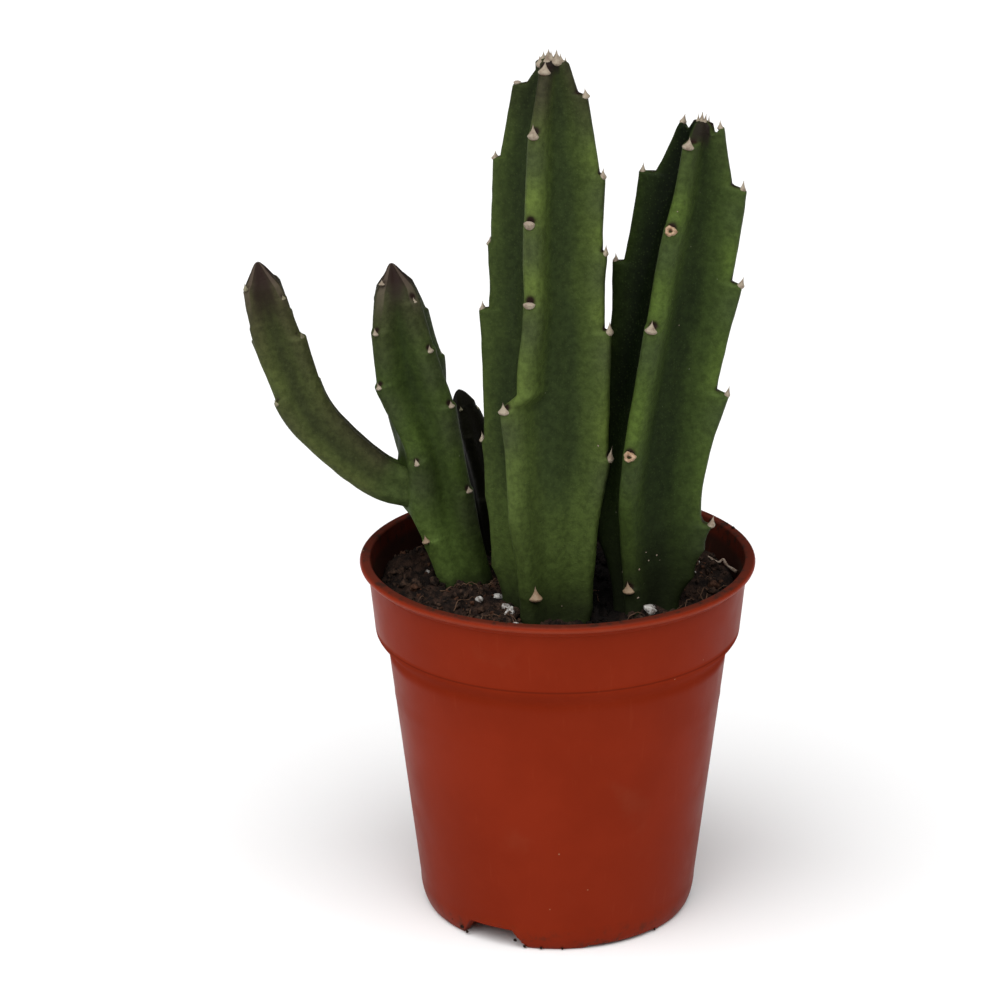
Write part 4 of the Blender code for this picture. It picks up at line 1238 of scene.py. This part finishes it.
def build_skin(name, stem, seed):
    """A stem's skin as a grid of distance by angle, with masks for its colours.

    crest: how pale, from the valleys to the crests. young, bud, seam: brown new growth
    near the tip, more in the bud, with pale lines on its ribs. topmost: the darker top.
    furrow shadow: a painted shadow in the furrow at the left. lift: painted light. upper,
    joint: the shoot's upper side, and its root. notch shadow: a painted shadow in the notch
    above a tooth; yellow, grey: colours near the teeth. base: painted shade towards the soil.
    """
    length = line_length(stem)
    below_tip = length - TIP_REACH
    lower_rows = np.linspace(0.0, below_tip, int(length / ROW_SPACING) - 13, endpoint=False)
    distances = np.concatenate([lower_rows, np.linspace(below_tip, length - 0.02 * stem.nose, TIP_ROWS)])
    around = stem_columns(QUARTER_STEPS)
    distance, turn = np.meshgrid(distances, around, indexing="ij")
    points, nearest, radius = skin_points(stem, distance, turn, seed)
    z = points[..., 2]
    masks = tooth_masks(stem, points)
    from_tip = length - distance
    top_reach = stem.young + TOP_PAST_YOUNG if stem.pointed else TOP_REACH
    topmost = fade(from_tip, 1.3 * top_reach, 0.3 * top_reach)
    crest = ease(1.4 * nearest - 0.2) * (1 - 0.8 * topmost)
    pale_from, pale = stem.paler
    lower = fade(z, pale_from, pale_from - PALER_FADE)
    if stem.pointed:
        brown = fade(nearest, 1.55, 0.55)
    else:
        brown = fade(np.abs(turn % 2 - 1), 0.22, 0.42) * np.where(turn > 3, fade(turn, 3.7, 3.9), 1.0)
    from_front = np.minimum(turn, 4 - turn)
    painted_light_from, painted_light_beside, painted_light_on = stem.lift
    lift = painted_light_beside * fade(from_front, 0.1, 0.45) + painted_light_on * fade(from_front, 0.95, 0.25)
    upper_side = unit(points - line_frame(stem, distance)[0])[..., 2]
    painted_shade_to = min(SOIL_LEVEL, stem.painted_shade_from - MM)
    attributes = {
        "crest": (nearest + pale * lower * (1 - nearest)) * (1 - 0.35 * lower),
        "young": brown
        * fade(from_tip, 1.15 * stem.young, 0.15 * stem.young)
        * fade(radius, stem.young_radius, stem.young_radius - YOUNG_FADE),
        # a painted shadow in the furrow between the left and the front rib
        "furrow_shadow": stem.furrow_shadow * fade(np.abs(turn - FURROW_TURN), *FURROW_ENDS) * (1 - lower),
        # painted light low on the stem
        "lift": fade(z, painted_light_from, painted_light_from - PAINTED_LIGHT_FADE) * lift,
        "upper": ease(1.4 * upper_side - 0.05),
        "joint": fade(distance, *JOINT_ENDS),
        "topmost": topmost,
        "bud": stem.pointed * fade(from_tip, *BUD_ENDS),
        "seam": stem.pointed * fade(nearest, *SEAM_CREST) * fade(from_tip, *SEAM_ENDS),
        # painted shadow in the notch above each tooth
        "notch_shadow": ease(1.5 * masks["notch_shadow"]),
        "yellow": crest * masks["yellow"] * (1 - masks["grey"]) * (1 - 0.6 * lower),
        "grey": crest * masks["grey"],
        # painted shade towards the soil
        "base": fade(z, stem.painted_shade_from, painted_shade_to),
    }
    for key, value in attributes.items():
        attributes[key] = np.concatenate([value.ravel(), value[0, :1], value[-1, :1]])
    foot_and_tip = line_frame(stem, np.array([0.0, length]))[0]
    vertices = np.vstack([points.reshape(-1, 3), foot_and_tip])
    return add_piece(name + "_skin", vertices, capped_faces(*distance.shape), SKINS[name], attributes)


def tooth_net(length, half_width, thinness, hook, lean, turned, root, out, upward):
    """Points of one tooth at its root, and the share of its length at each.

    Below the widest place the outline is half an ellipse, and above it falls as a power
    of the share that is left: a round drop and a fine spike. A short tooth is a bowl:
    its half ellipse goes higher, and its top is nearly flat. The tooth bows outwards by
    hook * sin(pi * s) along the share s of its length, and leans outwards by lean.
    """
    s = np.linspace(0.0, 1.0, TOOTH_ROWS + 2)[1:-1] ** 1.35
    widest, power = SPIKE_SHAPE if length > BLUNT * half_width else BOWL_SHAPE
    bulb = np.sqrt(1 - np.clip((widest - s) / widest, 0, 1) ** 2)
    radius = half_width * bulb * np.clip((1 - s) / (1 - widest), 0, 1) ** power
    turn = ring_turns(TOOTH_COLUMNS)
    x = radius[:, None] * np.sin(turn)
    y = -thinness * radius[:, None] * np.cos(turn) - (hook * np.sin(math.pi * s) + lean * s * length)[:, None]
    z = np.repeat((s * length)[:, None], TOOTH_COLUMNS, 1)
    ends = ([0, 0], [0, -lean * length], [0, length])
    x, y, z = (np.append(rings, two) for rings, two in zip((x, y, z), ends))
    across = unit(np.cross(upward, -out))
    inwards = np.cross(upward, across)
    cos, sin = math.cos(turned), math.sin(turned)
    points = np.outer(x * cos - y * sin, across) + np.outer(x * sin + y * cos, inwards) + np.outer(z, upward)
    return root + points, np.append(np.repeat(s, TOOTH_COLUMNS), [0, 1])


def build_teeth(name, stem, material, seed, loose=()):
    """A tooth at every step of the ribs, each a little different, and the loose ones."""
    random = np.random.default_rng(seed)
    teeth, heights = [], []
    for place, out, upward, _, length, width in tooth_sites(stem, False):
        longer, wider, *shape = random.uniform(*TOOTH_SPREAD)
        root = place - 0.02 * width * out - TOOTH_SINK * length * upward
        teeth.append(tooth_net(length * longer, width * wider, *shape, root, out, upward))
        heights.append(place[2])
    for azimuth, *sizes, lean in loose:
        radius, below, length, width = (MM * size for size in sizes)
        centre, tangent, forward, side = line_frame(stem, line_length(stem) - below)
        out = math.cos(math.radians(azimuth)) * forward + math.sin(math.radians(azimuth)) * side
        shape = (length, width, CROWN_THICKNESS, CROWN_HOOK, lean, 0.0)
        teeth.append(tooth_net(*shape, centre + radius * out, out, tangent))
        heights.append(centre[2])
    parts, shares = zip(*teeth)
    points, faces = join_parts(np.array(parts), capped_faces(TOOTH_ROWS, TOOTH_COLUMNS))
    ages = fade(np.array(heights), *SOILED_TEETH)
    attributes = {"rise": np.concatenate(shares), "age": np.repeat(ages, len(shares[0]))}
    return add_piece(name, points, faces, material, attributes)


def build_scars(name, stem):
    """Worn teeth: a corky cup with a ragged rim and a sunken middle, tilted up a little."""
    turn = ring_turns(SCAR_COLUMNS)
    ragged = 1 + 0.10 * np.sin(3 * turn + 1.0) + 0.06 * np.sin(7 * turn)
    wide = SCAR_RADIUS * SCAR_PROFILE[:, :1] * ragged
    high = SCAR_HEIGHT * SCAR_PROFILE[:, 1:] * (0.8 + 0.2 * ragged)
    parts = []
    for place, out, upward, *_ in tooth_sites(stem, True):
        up = upward - 0.25 * out
        ahead = out + 0.25 * upward
        centre = place - 0.00012 * out + 0.00005 * upward
        rings = centre + (wide * np.cos(turn))[..., None] * np.cross(upward, out)
        rings = rings + (0.82 * wide * np.sin(turn))[..., None] * up + high[..., None] * ahead
        parts.append(np.vstack([rings.reshape(-1, 3), centre - 0.0006 * ahead, centre + 0.00003 * ahead]))
    points, faces = join_parts(np.array(parts), capped_faces(*wide.shape))
    one = np.append(np.repeat(SCAR_PROFILE[:, 0], SCAR_COLUMNS), [1.0, 0.0])
    return add_piece(name, points, faces, WORN_CORK, {"rise": np.tile(one, len(parts))})


# Soil


def soil_height(x, y):
    """The soil's surface: a level, a few mounds, clods and crumbs, lower at the wall."""
    height = np.full_like(x, SOIL_LEVEL)
    for mound_x, mound_y, rise, reach in MOUNDS:
        height += rise * np.exp(-((x - mound_x) ** 2 + (y - mound_y) ** 2) / reach**2)
    flat = np.stack([x, y, np.zeros_like(x)], -1)
    clod_height, clod_size = SOIL_CLODS
    height += clod_height * lumps(flat, clod_size, 11)
    for seed, (rise, size, level, depth) in enumerate(SOIL_CRUMBS, 12):
        height += rise * (level - np.abs(lumps(flat, size, seed)) * depth)
    return height - SOIL_SINKS * fade(np.hypot(x, y), *SOIL_EDGE)


def paint_soil_shadow(x, y):
    """A painted shadow on the soil: near black between the feet of the two front stems."""
    middle, reach_x, reach_y = SOIL_SHADOW_PLACE
    return np.exp(-(((x - middle) / reach_x) ** 4) - (y / reach_y) ** 4)


def build_soil():
    """The root ball: an uneven top as a polar grid, and its side down the pot's wall."""
    side_z = np.linspace(SOIL_BOTTOM, SOIL_LEVEL - 0.002, SOIL_SIDE_ROWS)
    side_r = wall_inside(side_z) - 0.0003
    top_r = np.linspace(wall_inside(SOIL_LEVEL) - 0.0001, 0.0003, SOIL_RINGS)
    below = np.concatenate([[SOIL_BOTTOM, SOIL_BOTTOM], side_z])
    radius = np.concatenate([[0.004, 0.012], side_r, top_r])[:, None]
    turn = ring_turns(SOIL_COLUMNS)
    x, y = radius * np.sin(turn), -radius * np.cos(turn)
    count = len(below)
    z = np.vstack([np.repeat(below[:, None], SOIL_COLUMNS, 1), soil_height(x[count:], y[count:])])
    middle = soil_height(np.zeros(1), np.zeros(1))[0]
    vertices = np.vstack([np.stack([x, y, z], -1).reshape(-1, 3), [0, 0, SOIL_BOTTOM], [0, 0, middle]])
    # The second mask is a painted shadow between the front stems.
    masks = {"tone": 0.5 + 0.5 * lumps(vertices, 0.005, 21), "painted_shadow": paint_soil_shadow(*vertices[:, :2].T)}
    return add_piece("soil_surface", vertices, capped_faces(*x.shape), PEAT, masks)


def turned_at_random(random, bodies):
    """Each of many bodies turned by its own random unit quaternion."""
    q = unit(random.normal(size=(len(bodies), 4)))[:, None]
    once = np.cross(q[..., 1:], bodies)
    return bodies + 2 * (q[..., :1] * once + np.cross(q[..., 1:], once))


def pebbles(places, sizes, rings, columns, roughness, seed):
    """Irregular grains: a sphere's net scaled by noise of its direction, and turned."""
    random = np.random.default_rng(seed)
    polar = np.linspace(0, math.pi, rings + 2)[1:-1]
    polar, turn = np.meshgrid(polar, ring_turns(columns), indexing="ij")
    net = np.stack([np.sin(polar) * np.sin(turn), -np.sin(polar) * np.cos(turn), -np.cos(polar)], -1)
    net = np.vstack([net.reshape(-1, 3), [0, 0, -1], [0, 0, 1]])
    count = len(places)
    shape = net[None] + 3.1 * np.arange(count)[:, None, None]
    swell = 1 + roughness * lumps(shape, 0.9, seed) + 0.4 * roughness * lumps(shape, 0.4, seed + 1)
    stretch = random.uniform(0.65, 1.25, size=(count, 1, 3))
    bodies = net[None] * swell[..., None] * stretch * np.asarray(sizes)[:, None, None]
    bodies = turned_at_random(random, bodies) + np.asarray(places)[:, None]
    return join_parts(bodies, capped_faces(rings, columns))


def scatter(random, count, gap, spread=SCATTER_REACH):
    """Random places on the soil, clear of every stem's foot."""
    angle = random.uniform(0, math.tau, 3 * count)
    radius = spread * np.sqrt(random.uniform(0, 1, 3 * count))
    x, y = radius * np.sin(angle), -radius * np.cos(angle)
    clear = np.ones(x.shape, bool)
    for stem in (TALL, RIGHT, LEFT, BACK):
        centre = line_frame(stem, stem.leaves)[0]
        clear &= np.hypot(x - centre[0], y - centre[1]) > stem.base * STEM_SHARE + gap
    return x[clear][:count], y[clear][:count]


def build_crumbs(name, count, small, large, rings, columns, seed):
    """Loose crumbs lying on the soil, many small ones and few large ones."""
    random = np.random.default_rng(seed)
    x, y = scatter(random, count, CRUMB_GAP)
    sizes = small + (large - small) * random.uniform(0, 1, len(x)) ** 2.5
    places = np.stack([x, y, soil_height(x, y) + 0.25 * sizes], -1)
    points, faces = pebbles(places, sizes, rings, columns, 0.85, seed + 5)
    # The second mask is a painted shadow between the front stems.
    masks = {"tone": random.uniform(0, 1, len(x)), "painted_shadow": paint_soil_shadow(x, y)}
    masks = {key: np.repeat(value, rings * columns + 2) for key, value in masks.items()}
    return add_piece(name, points, faces, CRUMB_DARK, masks)


def tubes(lines, radii, columns):
    """Round tubes along many lines at once: lines is copies x rows x 3."""
    ahead = unit(np.gradient(lines, axis=1))
    side = unit(np.cross(ahead, [0.0, 0.0, 1.0]))[:, :, None]
    over = np.cross(side, ahead[:, :, None])
    turn = ring_turns(columns)[None, None, :, None]
    width = np.asarray(radii)[..., None, None]
    rings = lines[:, :, None] + width * (np.cos(turn) * side + np.sin(turn) * over)
    copies, rows = lines.shape[:2]
    ends = np.stack([lines[:, 0], lines[:, -1]], 1)
    parts = np.concatenate([rings.reshape(copies, rows * columns, 3), ends], 1)
    return join_parts(parts, [face[::-1] for face in capped_faces(rows, columns)])


def build_fibres(count, seed):
    """Short peat fibres and rootlets: gentle random bends, lying on the soil."""
    random = np.random.default_rng(seed)
    x, y = scatter(random, count, FIBRE_GAP, FIBRE_START)
    one_each = (len(x), 1)
    heading = random.uniform(0, math.tau, one_each)
    bend = np.cumsum(random.normal(0, FIBRE_BEND, size=(len(x), FIBRE_ROWS)), axis=1)
    step = random.uniform(*FIBRE_STEP, one_each)
    px = x[:, None] + np.cumsum(step * np.cos(heading + bend), axis=1)
    py = y[:, None] + np.cumsum(step * np.sin(heading + bend), axis=1)
    reach = np.minimum(1.0, FIBRE_REACH / np.hypot(px, py))
    px, py = px * reach, py * reach
    lift = random.uniform(*FIBRE_LIFT, one_each) * np.sin(np.linspace(0.2, 2.6, FIBRE_ROWS))
    lines = np.stack([px, py, soil_height(px, py) + 0.0002 + lift], -1)
    radii = random.uniform(*FIBRE_RADIUS, one_each) * np.linspace(1.0, 0.45, FIBRE_ROWS)
    return add_piece("fibres", *tubes(lines, radii, 6), FIBRE_BROWN)


def build_perlite():
    """The white grains at their places, and small broken bits round them."""
    random = np.random.default_rng(31)
    bits = scatter(random, PERLITE_BITS, BIT_GAP)
    x, y = (np.concatenate([known, bit]) for known, bit in zip(PERLITE.T, bits))
    sizes = np.concatenate([PERLITE[:, 2], random.uniform(*BIT_SIZES, len(bits[0]))])
    places = np.stack([x, y, soil_height(x, y) + 0.35 * sizes], -1)
    grains = pebbles(places, sizes, rings=16, columns=20, roughness=0.29, seed=33)
    return add_piece("perlite", *grains, PERLITE_WHITE)


def build_root():
    """One pale root with knobs along it."""
    curve, _ = smooth_line(ROOT_LINE, 8)
    radii = ROOT_RADIUS * (1 + 0.45 * lumps(curve, 0.0012, 41))
    return add_piece("dry_root", *tubes(curve[None], radii[None], 10), ROOT_TAN)


def build_specks(name, stem, marks, seed):
    """Grains of dust on a stem."""
    distance, around, sizes = (np.array(marks) * (MM, 1.0, MM)).T
    places, _, _ = skin_points(stem, distance, around, 1)
    grains = pebbles(places, sizes, rings=8, columns=10, roughness=0.3, seed=seed)
    return add_piece(name, *grains, ROOT_TAN)


def build_foot_dirt():
    """Crumbs of soil stuck to the pot's foot and rim."""
    azimuth, height, sizes = np.array(FOOT_DIRT).T * ((1.0,), (MM,), (MM,))
    azimuth = np.radians(azimuth)
    at_foot = FOOT_RADIUS + 0.2 * height + 0.0001
    radius = np.where(height > POT_HEIGHT, RIM_RADIUS - 0.0007, at_foot)
    places = np.stack([radius * np.sin(azimuth), -radius * np.cos(azimuth), height], -1)
    points, faces = pebbles(places, sizes, rings=8, columns=10, roughness=0.4, seed=51)
    points[:, 2] = np.maximum(points[:, 2], 0.00002)
    masks = dict.fromkeys(("tone", "painted_shadow"), np.zeros(len(points)))
    return add_piece("foot_dirt", points, faces, CRUMB_DARK, masks)


# What stands round the object


def build_floor():
    bpy.ops.mesh.primitive_plane_add(size=6.0, location=(0, 0, 0))
    floor = bpy.context.object
    floor.name = "floor"
    pale = Looks("pale_floor", 0.9, 0.1)
    pale.shader.inputs["Base Color"].default_value = (FLOOR_GREY, FLOOR_GREY, FLOOR_GREY, 1.0)
    floor.data.materials.append(pale.material)


def build_camera():
    data = bpy.data.cameras.new("camera")
    data.sensor_width = SENSOR
    data.sensor_fit = "HORIZONTAL"
    data.lens = CAMERA_FOCAL_PIXELS * SENSOR / PICTURE
    data.shift_x = -(CAMERA_AXIS_PIXEL - PICTURE / 2) / PICTURE
    data.clip_start = 0.01
    camera = bpy.data.objects.new("camera", data)
    camera.location = (
        POT_AXIS[0],
        -CAMERA_DISTANCE * math.cos(CAMERA_ELEVATION),
        CAMERA_HEIGHT_AIM + CAMERA_DISTANCE * math.sin(CAMERA_ELEVATION),
    )
    camera.rotation_euler = (math.pi / 2 - CAMERA_ELEVATION, 0, 0)
    bpy.context.scene.collection.objects.link(camera)
    bpy.context.scene.camera = camera


def build_light(name, azimuth, elevation, strength):
    """A wide, even studio light from one direction, so broad that its shadows are soft."""
    data = bpy.data.lights.new(name, "SUN")
    data.angle = LIGHT_SPREAD
    data.energy = strength
    light = bpy.data.objects.new(name, data)
    light.rotation_euler = (math.radians(90 - elevation), 0, math.radians(azimuth))
    bpy.context.scene.collection.objects.link(light)


def build_studio():
    build_floor()
    build_camera()
    build_light("left_light", -64, 46, 1.12)
    build_light("front_light", -12, 62, 2.75)
    build_light("right_light", 52, 50, 1.00)
    world = bpy.data.worlds.new("studio")
    world.use_nodes = True
    backdrop = world.node_tree.nodes["Background"].inputs
    backdrop["Color"].default_value = (1, 1, 1, 1)
    backdrop["Strength"].default_value = WORLD_STRENGTH
    bpy.context.scene.world = world
    bpy.context.scene.view_settings.view_transform = "Standard"


def build_object():
    """Every piece by its node and a slot name that is not read: the node's solid is hidden, and each piece
    hangs from the root.
    """
    pieces = {
        ("pot", "pot_plastic"): [build_pot(), build_foot_dirt()],
        ("soil", "peat_soil"): [
            build_soil(),
            build_crumbs("crumbs_fine", 1500, 0.00012, 0.00036, rings=5, columns=8, seed=61),
            build_crumbs("crumbs_coarse", 260, 0.00030, 0.00085, rings=9, columns=14, seed=62),
            build_fibres(count=90, seed=71),
            build_perlite(),
            build_root(),
        ],
        ("stem_tall", "stem_flesh"): [
            build_skin("stem_tall", TALL, 1),
            build_teeth("stem_tall_teeth", TALL, TOOTH_HORN, 101, TALL_CROWN),
            build_specks("stem_tall_specks", TALL, TALL_SPECKS, 81),
        ],
        ("stem_right", "stem_flesh"): [
            build_skin("stem_right", RIGHT, 3),
            build_teeth("stem_right_teeth", RIGHT, TOOTH_HORN, 102, RIGHT_CROWN),
            build_scars("stem_right_scars", RIGHT),
            build_specks("stem_right_specks", RIGHT, RIGHT_SPECKS, 82),
        ],
        ("stem_left", "stem_flesh"): [
            build_skin("stem_left", LEFT, 5),
            build_skin("side_shoot", SIDE_SHOOT, 7),
            build_teeth("stem_left_teeth", LEFT, TOOTH_HORN, 103, LEFT_LOOSE),
            build_teeth("side_shoot_teeth", SIDE_SHOOT, TOOTH_YOUNG, 105),
        ],
        ("stem_back", "stem_flesh_dark"): [
            build_skin("stem_back", BACK, 9),
            build_teeth("stem_back_teeth", BACK, TOOTH_YOUNG, 104),
        ],
    }
    for (node, slot), made in pieces.items():
        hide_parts(node)
        for piece in made:
            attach(piece, "root")


build_object()
build_studio()
